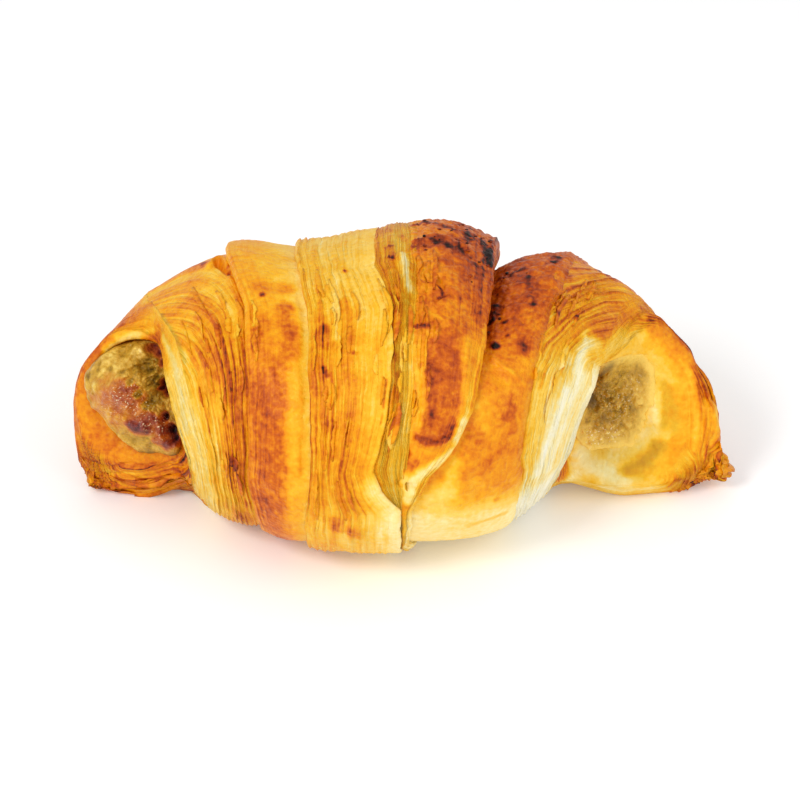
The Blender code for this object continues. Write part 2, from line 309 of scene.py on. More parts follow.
WRAPS = (  # A to G, from the left
    Wrap((0.2, -0.9, -2.4), (0.0, 0.3, -0.7), 62, (0.9, 1.0, 0.8),
         ((0.42, 0.46, 0.44), (0.36, 0.55, 0.54), (0.2, 0.44, 0.48))),
    Wrap((0.6, 0.4, -0.8), (0.7, 0.9, -0.4), 52, (0.35, 0.12, 0.05),
         ((0.4, 0.36, 0.16), (0.58, 0.62, 0.2), (0.54, 0.6, 0.16))),
    Wrap((0.8, 0.6, 0.7), (1.0, 1.3, 1.3), 60, (0.9, 0.8, 0.15),
         ((0.32, 0.3, 0.24), (0.48, 0.46, 0.34), (0.36, 0.3, 0.12))),
    Wrap((0.3, 0.8, 0.6), (0.1, 0.4, 0.2), 26, (0.9, 0.9, 0.9),
         ((0.5, 0.47, 0.46), (0.4, 0.36, 0.34), (0.28, 0.22, 0.2))),
    Wrap((0.4, 0.7, -1.6), (0.0, 0.9, 0.4), 66, (0.3, 0.12, 0.55),
         ((0.48, 0.68, 0.7), (0.42, 0.55, 0.44), (0.36, 0.34, 0.14))),
    Wrap((-9.5, -4.0, -0.8), (-1.3, -0.3, 0.4), 54, (0.1, 0.08, 0.15),
         ((0.66, 0.72, 0.64), (0.52, 0.56, 0.5), (0.12, 0.16, 0.12))),
    Wrap((-1.6, -1.3, -2.2), (-0.8, 0.1, 0.0), 58, (1.0, 1.0, 0.7),
         ((0.48, 0.5, 0.52), (0.32, 0.2, 0.1), (0.02, 0.0, 0.0))),
)
CREST = -25.0  # the middle of a wrap's top form
TOP_HALF_ANGLE = 35.0
SIDE_ANGLE = 88.0
WRAP_MM = 14.0  # the width that a wrap's layers are laid out on
WRAP_PITCH = 3  # how many such widths one wrap's layers lie from the next one's
TRAIL_DEGREES = 3  # how far round the dough one point of a stroke is from the next
FINE_LINE = 0.5  # a stroke narrower than this is broken up by the grain


def across(three: Triple, share: Array) -> Array:
    """A smooth run through three values.

    Args:
        three: The values at the left edge, the middle and the right edge.
        share: Where it is read, from 0 at the left edge to 1 at the right edge.

    Returns:
        The values there.
    """
    left, crown, right = three
    bend = 2 * (left + right - 2 * crown)
    return left + (right - left) * share - bend * share * (1 - share)


def wrap_lift(wrap: Wrap, share: Array, angle: Array) -> Array:
    """How far a wrap stands off the body's loops, in millimetres."""
    on_side = smoothstep(np.abs(angle - CREST), TOP_HALF_ANGLE, SIDE_ANGLE)
    return across(wrap.top, share) * (1 - on_side) + across(wrap.side, share) * on_side


@dataclass
class Skin:
    """Rows of points round the dough, and what its relief and browning read at each of them."""

    points: Array
    outward: Array
    angle: Array
    share: Array  # how far across its zone
    lamina: Array  # how far across the layers, in millimetres
    wrap: Array  # its zone

    def other_way(self) -> "Skin":
        """The skin with its rows from last to first."""
        return Skin(*(values[::-1] for values in vars(self).values()))

    @staticmethod
    def joined(skins: list["Skin"]) -> "Skin":
        """One skin of the rows of several, in order."""
        return Skin(*(np.concatenate(values) for values in zip(*(vars(skin).values() for skin in skins))))


class Zone(IntEnum):
    """The wraps, and the two ends round into the mouths."""

    A = 0
    B = 1
    C = 2
    D = 3
    E = 4
    F = 5
    G = 6
    LEFT = 7
    RIGHT = 8


class Stroke(NamedTuple):
    """A patch painted along points, each a share across a zone and an angle round the dough."""

    zone: Zone
    points: tuple[tuple[float, float], ...]
    wide: float  # half its width
    level: float  # of browning or green, or how far it raises the dough
    soft: float = 0.8  # how gently it fades out, as a share of its width
    rough: float = 0.4  # how uneven its outline is, as a share of its width
    hold: float = 0.8  # how much of what is under it it covers


def strokes(rows: dict[Zone, tuple[tuple, ...]], **rest: float) -> tuple[Stroke, ...]:
    """Strokes from rows of points and measures, given by zone, and the measures that all of them have."""
    return tuple(Stroke(zone, *row, **rest) for zone, group in rows.items() for row in group)


STROKES = strokes({Zone.A: (
    (((0.51, -6), (0.57, 18), (0.55, 39), (0.45, 58), (0.41, 80)), 0.36, 0.58, 0.6, 0.3),
    (((0.61, 3), (0.69, 24), (0.69, 46), (0.71, 59), (0.59, 77)), 0.32, 0.57, 0.6, 0.3),
    (((0.9, 29), (0.92, 46), (0.91, 59), (0.88, 78), (0.86, 91)), 0.36, 0.6, 0.6, 0.3, 0.85),
    (((0.31, 6), (0.37, 30), (0.17, 52), (0.19, 68)), 0.29, 0.54, 0.6, 0.3, 0.7),
    (((0.24, -4), (0.26, 20), (0.19, 40)), 0.27, 0.5, 0.6, 0.3, 0.7),
    (((0.81, 39), (0.81, 56), (0.83, 72)), 0.27, 0.6, 0.6, 0.3, 0.7),
    (((0.61, 25), (0.61, 43), (0.53, 64)), 1.13, 0.55, 0.8, 0.4, 0.5),
    (((0.05, 27), (0.1, 45), (0, 67), (0, 91)), 1.02, 0.24, 0.7, 0.3, 0.7),
    (((0.21, 72), (0.29, 92), (0.55, 109)), 1.58, 0.26, 0.7, 0.4, 0.6),
    (((0.88, -32),), 0.9, 0.68, 0.7),
    (((0.86, -15), (0.95, -16), (0.92, -8)), 0.45, 0.86, 0.5, 0.4, 0.9),
    (((0.71, -36), (0.65, -21), (0.53, -21)), 0.68, 0.62, 0.6),
    (((0.69, -1), (0.78, 7), (0.78, 15)), 0.9, 0.3, 0.7, 0.3, 0.6),
), Zone.B: (
    (((0.39, -7), (0.82, -15)), 1.81, 0.36, 0.8, 0.4, 0.7),
    (((0.28, 10),), 0.72, 0.76, 0.5, 0.4, 0.9),
    (((0.21, 6), (0.74, 4)), 1.58, 0.56, 0.8, 0.5, 0.7),
    (((0.61, 14), (0.63, 22), (0.68, 33)), 2.04, 0.7, 0.7, 0.5),
    (((0.21, 22), (0.21, 33)), 1.81, 0.58, 0.8, 0.5, 0.7),
    (((0.06, 24), (0.09, 29), (0.03, 35)), 0.32, 0.76, 0.7, 0.9),
    (((0.21, 27), (0.16, 32), (0.04, 36)), 0.32, 0.74, 0.7, 0.9),
    (((0.28, 39), (0.32, 61), (0.3, 82), (0.28, 105)), 1.92, 0.63, 0.7, 0.5, 0.85),
    (((0.28, 59), (0.49, 60), (0.44, 65)), 1.13, 0.72, 0.7, 0.5),
    (((0.2, 83), (0.21, 97)), 0.9, 0.7, 0.7, 0.5, 0.7),
    (((0.54, 41), (0.56, 60)), 1.36, 0.56, 0.8, 0.5, 0.7),
    (((0.68, 42), (0.68, 63), (0.7, 89), (0.68, 106)), 1.13, 0.34, 0.7, 0.4, 0.6),
), Zone.C: (
    (((0.21, -4), (0.12, 13), (0.09, 22)), 0.36, 0.6, 0.8, 0.6, 0.7),
    (((0.13, 26), (0.18, 31)), 1.58, 0.63, 0.6, 0.5, 0.85),
    (((0.17, 40), (0.2, 43)), 0.63, 0.74, 0.5, 0.5, 0.95),
    (((0.53, 36),), 0.59, 0.76, 0.5, 0.5, 0.95),
    (((0.57, 1),), 0.63, 0.76, 0.5, 0.5, 0.95),
    (((0.55, 52),), 0.45, 0.64, 0.6, 0.5, 0.9),
    (((0.53, 46),), 0.36, 0.62, 0.6, 0.5, 0.9),
    (((0.55, 16),), 0.23, 0.74, 0.5, 0.5, 0.9),
    (((0.43, 1), (0.32, 14), (0.29, 29)), 0.79, 0.18, 0.7, 0.4, 0.7),
    (((0.43, 15), (0.45, 35), (0.45, 52)), 1.13, 0.5, 0.8, 0.4, 0.6),
    (((0.12, 52), (0.17, 63)), 0.9, 0.6, 0.8, 0.5, 0.7),
    (((0.92, 3), (0.85, 17), (0.8, 29)), 1.58, 0.26, 0.8, 0.4, 0.7),
    (((0.71, 34), (0.77, 47), (0.77, 61)), 1.81, 0.32, 0.8, 0.4, 0.6),
    (((0.27, 66), (0.47, 78)), 1.81, 0.46, 0.8, 0.5, 0.6),
    (((0.89, 68), (0.77, 86)), 1.13, 0.46, 0.8, 0.4, 0.6),
    (((0.99, 18), (1, 31), (1, 37)), 0.27, 0.72, 0.6, 0.4, 0.9),
    (((0.96, 47), (0.96, 62)), 0.27, 0.6, 0.6),
    (((1, 87), (1, 95), (0.87, 109)), 2.94, 0.13, 0.8, 0.3),
    (((0.31, 103), (0.49, 107)), 2.04, 0.62, 0.7, 0.6, 0.85),
    (((0.71, 100), (0.8, 111)), 1.81, 0.2, 0.8, 0.4, 0.7),
), Zone.D: (
    (((0.38, -18), (0.53, -11), (0.72, -7)), 1.58, 0.22, 0.8, 0.9, 0.5),
    (((0.76, -2), (0.8, 3), (0.87, 10), (0.97, 15)), 0.9, 0.1, 0.7, 0.7, 0.9),
    (((0.33, -8), (0.47, -8)), 0.45, 0.74, 0.7, 0.9),
    (((0.72, -16), (0.84, -11)), 0.54, 0.66, 0.7, 0.9, 0.7),
    (((0.16, 21), (0.09, 26), (0.16, 33)), 0.32, 0.74, 0.7, 0.6),
    (((0.43, 17),), 0.36, 0.82, 0.6, 0.6, 0.9),
    (((0.38, -2), (0.53, -1)), 0.5, 0.8, 0.6, 0.5, 0.9),
    (((0.53, 8), (0.38, 18)), 0.32, 0.7, 0.6),
    (((0.33, 30), (0.43, 48), (0.53, 64)), 0.45, 0.58, 0.7, 0.4, 0.7),
    (((0.8, 19), (0.91, 38), (0.91, 55)), 0.57, 0.3, 0.7, 0.4, 0.6),
), Zone.E: (
    (((0.03, -6), (0.25, -7), (0.4, -7), (0.55, -6), (0.71, -3), (0.81, 0), (0.9, 1)),
     1.36, 0.87, 0.8, 1.0, 0.85),
    (((0.1, -9), (0.21, -10), (0.36, -10)), 1.24, 0.86, 0.8, 1.0, 0.85),
    (((0.05, -27), (0.19, -28), (0.38, -23), (0.55, -19), (0.78, -21)), 1.13, 0.85, 0.8, 1.0),
    (((0.55, -8), (0.66, -7), (0.78, -5)), 0.9, 0.82, 0.8, 1.0, 0.7),
    (((0.7, -13), (0.76, -18)), 1.02, 0.93, 0.7, 0.8, 0.85),
    (((0.9, -18), (0.98, -12), (0.97, -4)), 1.24, 0.92, 0.7, 0.8, 0.9),
    (((0.73, 1), (0.92, 7)), 2.04, 0.72, 0.8, 0.6),
    (((0.15, 3), (0.34, 9), (0.51, 12)), 2.71, 0.54, 0.9, 0.4, 0.85),
    (((0.51, 20), (0.6, 29)), 2.04, 0.6, 0.9),
    (((0.82, 17), (0.89, 30)), 1.58, 0.66, 0.8, 0.5, 0.7),
    (((0.27, 11), (0.36, 15), (0.4, 18), (0.32, 18)), 0.41, 0.9, 0.7, 0.9, 0.9),
    (((0.13, 14), (0.21, 16), (0.12, 20), (0.11, 24)), 0.34, 0.34, 0.7, 0.9, 0.7),
    (((0.21, 24), (0.32, 26), (0.41, 29)), 0.34, 0.36, 0.7, 0.9, 0.6),
    (((0.24, 20), (0.3, 22)), 1.13, 0.66, 0.8, 0.8, 0.7),
    (((0.64, 18),), 0.57, 0.8, 0.8, 0.6),
    (((0.88, 22),), 0.79, 0.76, 0.8, 0.6),
    (((0.02, 29), (0.12, 29), (0.21, 30)), 0.54, 0.82, 0.6, 0.5, 0.9),
    (((0.43, 39), (0.49, 55), (0.55, 66)), 3.39, 0.7, 0.3, 0.3, 0.95),
    (((0.34, 46), (0.4, 55)), 1.58, 0.74, 0.9, 0.4, 0.7),
    (((0.21, 68), (0.4, 70), (0.66, 71), (0.85, 68)), 0.81, 0.8, 0.7, 0.6, 0.85),
    (((0.22, 39), (0.27, 56), (0.4, 65)), 0.54, 0.76, 0.8, 0.6, 0.7),
    (((0.06, 74),), 1.24, 0.86, 0.6, 0.7, 0.95),
    (((0.02, 80), (0.3, 78)), 0.9, 0.68, 0.8, 0.8),
    (((0.06, 36), (0.13, 55), (0.19, 64)), 0.59, 0.28, 0.8, 0.5, 0.6),
    (((0.01, 34), (0.02, 55), (0.03, 68)), 0.59, 0.5, 0.8, 0.5, 0.6),
    (((0.76, 34), (0.89, 49), (0.9, 61)), 1.13, 0.44, 0.8, 0.4, 0.7),
    (((0.98, 51), (0.98, 60), (0.99, 65)), 0.72, 0.2, 0.8, 0.5, 0.7),
    (((0.94, 31), (1, 45), (1, 58)), 0.9, 0.46, 0.8, 0.4, 0.6),
    (((1, 66),), 0.72, 0.64, 0.6, 0.5, 0.9),
    (((1, 64), (1, 72), (1, 76), (0.81, 80)), 1.13, 0.12, 0.7, 0.4, 0.9),
    (((0.7, 82), (0.57, 85), (0.53, 92)), 1.36, 0.12, 0.7, 0.4, 0.9),
    (((0.55, 74), (0.87, 72)), 1.13, 0.4),
    (((0.18, 84), (0.53, 92)), 1.36, 0.16),
), Zone.F: (
    (((0.28, -13), (0.39, -15), (0.51, -14)), 0.9, 0.9, 0.8, 1.0),
    (((0.61, -6), (0.49, -2)), 0.68, 0.84, 0.8, 1.0, 0.7),
    (((0.88, -24), (0.83, -18)), 1.02, 0.9, 0.7, 0.9, 0.9),
    (((0.1, 5), (0.22, 9)), 0.9, 0.95, 0.7, 0.8, 0.9),
    (((0.12, 16), (0.17, 13)), 0.9, 0.95, 0.7, 0.8, 0.9),
    (((0.33, 19), (0.39, 19)), 0.54, 0.93, 0.7, 0.8, 0.9),
    (((0.24, 31), (0.28, 32)), 1.02, 0.97, 0.6, 0.6, 0.95),
    (((0.49, 27),), 0.59, 0.9, 0.6, 0.8, 0.9),
    (((0.79, 12),), 0.72, 0.92, 0.6, 0.7, 0.9),
    (((0.06, 1), (0.1, 11)), 0.68, 0.82, 0.8, 0.8),
    (((0.76, 30), (0.87, 35)), 1.36, 0.78, 0.8, 0.6),
    (((0.39, 7), (0.69, 25)), 2.94, 0.68),
    (((0.76, 16), (0.72, 20)), 1.13, 0.54, 0.8, 0.6, 0.7),
    (((0.28, 38), (0.49, 42), (0.72, 44), (0.99, 49)), 0.32, 0.28, 0.8, 0.9, 0.6),
    (((0.39, 44), (0.78, 51)), 2.04, 0.48),
    (((0.12, 35), (0.15, 48)), 1.13, 0.48, 0.8, 0.4, 0.7),
    (((0.76, 57), (0.94, 65)), 2.04, 0.62, 0.8, 0.8, 0.75),
    (((0.81, 58), (0.76, 62)), 0.79, 0.72, 0.8, 0.9, 0.7),
    (((0.17, 56), (0.42, 65)), 1.81, 0.4, 0.8, 0.4, 0.7),
    (((0.13, 58),), 0.9, 0.36, 0.8, 0.5, 0.7),
    (((0.22, 80), (0.28, 87)), 1.36, 0.28, 0.9, 0.4, 0.7),
    (((0.56, 85), (0.65, 94)), 1.02, 0.44, 0.8, 0.5),
    (((0.85, 97),), 0.68, 0.52, 0.6, 0.6, 0.9),
    (((0.49, 99),), 1.02, 0.36, 0.8, 0.6),
    (((0.13, 95), (0.31, 92)), 2.26, 0.13, 0.9, 0.4, 0.7),
    (((0.61, 112), (0.81, 110), (0.94, 109)), 0.68, 0.34, 0.8, 0.9, 0.7),
), Zone.G: (
    (((0.03, -13), (0, 6), (0.01, 22), (0.04, 38), (0.05, 58)), 0.41, 0.28, 0.6, 0.3, 0.85),
    (((0.22, -21), (0.19, 9), (0.22, 30), (0.19, 51)), 0.34, 0.53, 0.6, 0.3),
    (((0.66, -13), (0.45, 5), (0.4, 20)), 0.41, 0.53, 0.6, 0.3),
    (((0.58, -6), (0.34, 5)), 1.13, 0.46, 0.9, 0.3, 0.6),
    (((0.86, 0), (0.64, 15), (0.53, 28), (0.49, 42)), 0.45, 0.48, 0.7, 0.3, 0.7),
    (((0.95, -11), (0.78, 6), (0.72, 17)), 0.57, 0.5, 0.8, 0.3, 0.7),
    (((0.49, 30), (0.68, 38)), 1.13, 0.17, 0.8, 0.3),
    (((0.78, 21), (0.78, 42), (0.78, 69), (0.64, 89)), 1.58, 0.04, 0.9, 0.3, 0.9),
    (((0.64, 50), (0.58, 69), (0.4, 89)), 1.81, 0.02, 0.9, 0.3, 0.9),
    (((0.84, 20), (0.93, 20)), 1.13, 0.22, 0.9, 0.3),
    (((0.21, -40), (0.64, -26), (0.96, -34)), 0.9, 0.68),
    (((0.66, 8), (0.78, 2), (0.97, -5)), 0.5, 0.54, 0.7),
    (((0.74, 18), (0.84, 10)), 0.57, 0.42),
), Zone.RIGHT: (
    (((0.08, -29), (0.42, -41), (0.51, -64), (0.5, -81)), 0.9, 0.68),
    (((0.3, -18),), 0.9, 0.8, 0.7, 0.6, 0.9),
    (((0.1, -20), (0.41, -29), (0.56, -47), (0.56, -73)), 0.68, 0.62, 0.7),
    (((0.09, -10), (0.35, -17), (0.54, -32), (0.59, -48)), 0.57, 0.56, 0.7),
    (((0.04, 4), (0.33, -8), (0.64, -31), (0.67, -49)), 0.68, 0.44),
    (((0.04, 18), (0.13, 7), (0.67, -13), (0.76, -39), (0.78, -59)), 1.58, 0.24, 0.9, 0.4, 0.85),
    (((0.88, -75), (0.87, -101)), 1.58, 0.14, 0.9, 0.4, 0.7),
    (((0.8, 130), (0.75, 160), (0.66, 177)), 2.71, 0.09, 0.9, 0.3, 0.95),
    (((0.87, 175), (0.89, -161), (0.9, -127)), 2.26, 0.16, 0.9, 0.4, 0.85),
    (((0.07, 168), (0.19, 169), (0.41, 173)), 1.58, 0.12, 0.9, 0.4, 0.9),
    (((0.65, 125), (0.53, 136), (0.07, 168)), 1.36, 0.12, 0.9, 0.3, 0.95),
    (((0.48, -20), (0.59, -34), (0.67, -49)), 1.81, 0.5, 0.9, 0.7, 0.6),
    (((0.74, -67), (0.7, -102), (0.72, -138)), 1.58, 0.42, 0.9, 0.9, 0.7),
    (((0.65, -73), (0.61, -98), (0.62, -124)), 0.68, 0.3, 0.9, 0.7, 0.7),
    (((0.8, -59), (0.8, -79), (0.81, -102)), 1.02, 0.4, 0.9, 0.6, 0.6),
    (((0.83, -138), (0.8, -167), (0.75, -180)), 1.58, 0.52, 0.9, 0.8),
    (((0.77, -70), (0.72, -97), (0.73, -137)), 1.81, 0.44, 0.9, 0.9, 0.6),
    (((0.69, -162), (0.65, -137)), 1.58, 0.32, 0.9, 0.4, 0.7),
    (((0.58, -59), (0.58, -85), (0.56, -103), (0.52, -123)), 0.59, 0.58),
    (((0.54, -78), (0.53, -96), (0.39, -113)), 0.5, 0.62),
    (((0.55, -139), (0.39, -121)), 1.58, 0.5, 0.9, 0.5),
    (((0.52, -154), (0.21, -142), (0.24, -117)), 1.02, 0.62, 0.8, 0.5, 0.85),
    (((0.22, -148), (0.21, -142)), 0.5, 0.84, 0.6, 0.6, 0.9),
    (((0.35, 160), (0.29, 172), (0.49, 179), (0.51, -168)), 0.9, 0.18, 0.8, 0.4, 0.9),
    (((0.1, 150), (0.3, 170), (0.4, -172)), 3.5, 0.22, 0.8, 0.4, 0.9),
    (((0.45, 140), (0.5, 165), (0.5, -176)), 2.0, 0.14, 0.9),
), Zone.LEFT: (
    (((0.23, -24),), 0.77, 0.82, 0.6, 0.6, 0.9),
    (((0.7, -72), (0.67, -44), (0.2, -27), (0.01, -12)), 1.13, 0.62, 0.9, 0.5),
    (((0.73, -43),), 1.13, 0.6, 0.8, 0.6),
    (((0.73, -25), (0.32, -7), (0.1, -1)), 1.58, 0.36, 0.8, 0.4, 0.7),
    (((0.69, -2), (0.18, 4)), 0.9, 0.16, 0.8, 0.4, 0.7),
    (((0.77, -42), (0.76, -25), (0.73, -6)), 1.02, 0.12, 0.8, 0.5),
    (((0.1, 12), (0.07, 29), (0.07, 48), (0.09, 68)), 1.02, 0.13, 0.8, 0.3),
    (((0.67, -95), (0.67, -117), (0.61, -135)), 1.13, 0.5, 0.9, 0.9, 0.7),
    (((0.62, -101), (0.61, -127)), 1.13, 0.58, 0.8, 0.5),
    (((0.4, -129), (0.56, -151)), 0.57, 0.72, 0.7, 0.7),
    (((0.67, -149), (0.68, 170), (0.55, 123)), 0.68, 0.55, 0.8, 0.5, 0.6),
    (((0.3, -147), (0.44, -178)), 0.9, 0.56, 0.8, 0.5, 0.7),
    (((0.5, -158), (0.53, 173), (0.13, 100)), 1.13, 0.4, 0.8, 0.5, 0.7),
    (((0.44, 174), (0.21, 129)), 0.9, 0.46, 0.8, 0.5, 0.7),
)})
GREENS = strokes({Zone.A: (
    (((0, 2), (0, 16), (0.05, 33)), 0.54, 0.5),
    (((0, 38), (0.01, 50)), 0.54, 0.3, 0.8, 0.5),
), Zone.B: (
    (((0.93, 23), (0.91, 52), (0.91, 79)), 0.9, 0.16, 0.9),
), Zone.RIGHT: (
    (((0.8, -57), (0.79, -75), (0.81, -101)), 1.13, 0.28, 0.9, 0.8),
    (((0.83, -143), (0.79, -169), (0.76, -180)), 1.81, 0.55, 0.9, 0.8),
    (((0.88, 155), (0.84, 179), (0.88, -158)), 2.26, 0.3, 0.9, 0.5),
    (((0.87, 134), (0.79, 164), (0.72, 175)), 2.49, 0.26, 0.9),
    (((0.86, 180), (0.89, -155), (0.88, -119)), 2.04, 0.22, 0.9),
    (((0.67, 170), (0.71, -177)), 1.58, 0.26, 0.9, 0.5),
    (((0.78, -83), (0.75, -103)), 1.36, 0.3, 0.9, 0.8),
    (((0.82, -37), (0.89, -60)), 1.13, 0.3, 0.9, 0.5),
), Zone.LEFT: (
    (((0.09, 9), (0.07, 28), (0.07, 51), (0.09, 68)), 1.02, 0.26, 0.9),
), Zone.G: (
    (((1, 73), (0.81, -133)), 0.68, 0.25, 0.9, 0.3),
)}, hold=1.0)
PRESSES = strokes({Zone.A: (
    (((0.84, -20), (0.88, -13), (0.92, -8)), 0.72, -1.6),
    (((0.73, -18), (0.87, -25), (0.95, -17)), 0.68, 0.9),
    (((0.9, 20), (0.9, 35)), 0.54, -0.7, 0.8, 0.8),
), Zone.B: (
    (((0.89, 9), (0.88, 44), (0.84, 80)), 0.68, -0.5, 0.9),
    (((0.3, 42), (0.32, 61), (0.32, 86)), 2.04, 0.35, 0.9, 0.3),
), Zone.C: (
    (((0.51, -3), (0.51, 15)), 2.26, 0.3, 0.9, 0.5),
    (((0.71, 12), (0.71, 35), (0.73, 61)), 0.68, -0.45, 0.9, 0.5),
    (((0.18, 31), (0.21, 34)), 0.9, -0.5, 0.8, 0.6),
), Zone.D: (
    (((0.97, 86), (0.97, 86)), 0.9, -0.8, 0.6, 0.5),
    (((0.67, -2), (0.84, 5), (0.97, 14)), 1.02, 0.8, 0.8, 0.5),
    (((0.53, 1), (0.38, 18)), 0.45, -0.6),
), Zone.E: (
    (((0.38, 87), (0.49, 88)), 0.9, -0.8, 0.6, 0.5),
    (((0.05, -10), (0.36, -11), (0.75, -7)), 1.13, 0.6, 0.8, 0.9),
    (((0.3, 10), (0.4, 16), (0.3, 19)), 0.59, -0.7, 0.8, 0.8),
    (((0.41, 39), (0.49, 55), (0.55, 66)), 2.71, -0.6, 0.5, 0.3),
    (((0.22, 69), (0.49, 72), (0.76, 70), (0.97, 66)), 0.72, 0.8),
    (((0.15, 36), (0.18, 52), (0.24, 64)), 0.54, 0.5),
    (((0.79, 36), (0.89, 52), (0.89, 61)), 0.9, 0.5),
    (((1, 66),), 0.68, 0.8, 0.7),
    (((0.06, 74),), 1.13, -0.5),
), Zone.F: (
    (((0.28, 38), (0.69, 44), (1, 49)), 0.5, 0.4, 0.8, 0.5),
    (((0.17, 39), (0.51, 47)), 1.13, -0.4, 0.8, 0.5),
    (((0.1, 5), (0.24, 31)), 0.9, 0.5, 0.8, 0.9),
    (((0.56, 85), (0.65, 94)), 0.9, -0.35, 0.8, 0.5),
    (((0.13, 68), (0.17, 78), (0.13, 86)), 0.79, -0.5, 0.9),
), Zone.G: (
    (((0, 25), (0.05, 54), (0.01, 85)), 0.59, -0.4, 0.9),
    (((0.68, 63), (0.66, 95)), 1.36, 0.4, 0.9, 0.5),
    (((1, -48), (1, -34), (1, -22)), 5.0, 0.9, 0.9, 0.1),
    (((0.87, -24), (0.88, -10), (0.9, 5), (0.9, 22)), 6.5, 1.9, 0.9, 0.1),
), Zone.LEFT: (
    (((0.34, -138), (0.53, -172), (0.4, 158)), 0.45, -0.45, 0.8, 0.6),
    (((0.42, -132), (0.67, -178), (0.47, 126)), 0.41, -0.35, 0.8, 0.6),
    (((0.3, -151), (0.44, -178)), 0.54, -0.5, 0.8, 0.6),
), Zone.RIGHT: (
    (((0.56, -86), (0.53, -95), (0.42, -104)), 1.13, 1.9, 0.9, 0.3),
    (((0.88, -75), (0.87, -98)), 1.81, 0.8, 0.9),
    (((0.8, -59), (0.8, -103)), 1.13, -0.6, 0.9),
    (((0.49, -28), (0.61, -43)), 3.39, 1.7, 0.9, 0.1),
    (((0.84, -150), (0.78, -174), (0.76, -180)), 1.02, -0.6, 0.9),
    (((0.57, -65), (0.56, -91), (0.48, -118)), 0.45, -0.8),
    (((0, -48), (0, -34), (0, -22)), 5.0, 0.9, 0.9, 0.1),
    (((0, -24), (0, -10), (0, 5), (0, 22)), 6.5, 1.9, 0.9, 0.1),
)}, hold=1.0)


@dataclass(frozen=True)
class Mouth:
    """An open end of the dough: how its rim folds in, and the hollow behind it."""

    roll: Sweep
    zone: Zone
    side: int  # -1 for the left end, 1 for the right end
    rim: float  # the body loop that it starts from
    fold: tuple[float, float, float, float]  # the angles at which the rim starts and stops folding in sharply
    thick: float  # of the folded rim
    lip: float  # width of the rounded lip elsewhere
    broad: Triple  # the angle at which the lip is broader, by how much, and how far round
    crest: float  # how far the lip stands out
    depth: float
    lean: Triple  # which way the middle of the hollow is moved
    open_top: Triple  # how far the top of the mouth's ring is moved
    brow: Triple  # how far its upper part comes forward, at which angle, how far round
    steps: tuple[tuple[float, float, int], ...]  # size and depth of the hollow as shares, and rows
    corner: tuple[float, float, float, float, float]  # a torn corner: angle, share, reach and both spreads


LEFT_MOUTH = Mouth(
    roll=LEFT_ROLL, zone=Zone.LEFT, side=-1, rim=0.0, fold=(-10, 35, 150, 180), thick=4.2, lip=1.8,
    broad=(-138, 4.2, 50), crest=0.5, depth=13.0, lean=(2, 0, 0), open_top=(0, 1, 0.5), brow=(0, 18, 26),
    corner=(-150, 0.26, 1.8, 9, 0.12),
    steps=((0.96, 0.2, 8), (0.88, 0.55, 8), (0.7, 0.88, 8), (0.35, 1.0, 8)),
)
RIGHT_MOUTH = Mouth(
    roll=RIGHT_ROLL, zone=Zone.RIGHT, side=1, rim=7.0, fold=(28, 50, 150, 180), thick=3.0, lip=0.8,
    broad=(-100, 3.0, 45), crest=0.2, depth=4.5, lean=(-3.5, -2.0, 1.2), open_top=(-1.0, 4.5, 2.6),
    brow=(7.0, 16, 26), corner=(-116, 0.25, 7.4, 12, 0.14),
    steps=((0.9, 0.0, 12), (0.78, 0.05, 12), (0.62, 0.22, 14), (0.44, 0.62, 14), (0.24, 0.95, 10)),
)


def angles_around(count: int) -> Array:
    """Angles round the dough, closer together at the front and the top than on the base.

    Args:
        count: How many steps there are.

    Returns:
        The angles from -180 to 180, one more than the steps.
    """
    crowding, sparse = 0.45, math.radians(40)
    even = np.linspace(0, 2 * math.pi, count + 1)
    start = crowding * math.sin(-sparse)
    return np.degrees(even + crowding * np.sin(even - sparse) - start) - 180


def trail(skin: Skin, stroke: Stroke) -> Array | None:
    """The points in space that a stroke is laid along.

    Args:
        skin: The rows.
        stroke: The stroke.

    Returns:
        The points, or nothing if the skin hasn't the stroke's zone.
    """
    rows = np.nonzero(skin.wrap[:, 0] == stroke.zone)[0]
    if not len(rows):
        return None
    shares, angles = skin.share[rows, 0], skin.angle[0]
    places = []
    last = stroke.points[0]
    for following in stroke.points[1:] or [last]:
        turn = turned_once(following[1] - last[1])
        for t in np.linspace(0, 1, max(2, int(abs(turn) / TRAIL_DEGREES) + 1)):
            places.append((last[0] + (following[0] - last[0]) * t, turned_once(last[1] + turn * t)))
        last = following
    row = rows[[int(np.abs(shares - share).argmin()) for share, _ in places]]
    column = np.interp([angle for _, angle in places], angles, np.arange(len(angles)))
    before = np.floor(column).astype(int).clip(0, len(angles) - 2)
    part = (column - before)[:, None]
    return skin.points[row, before] * (1 - part) + skin.points[row, before + 1] * part


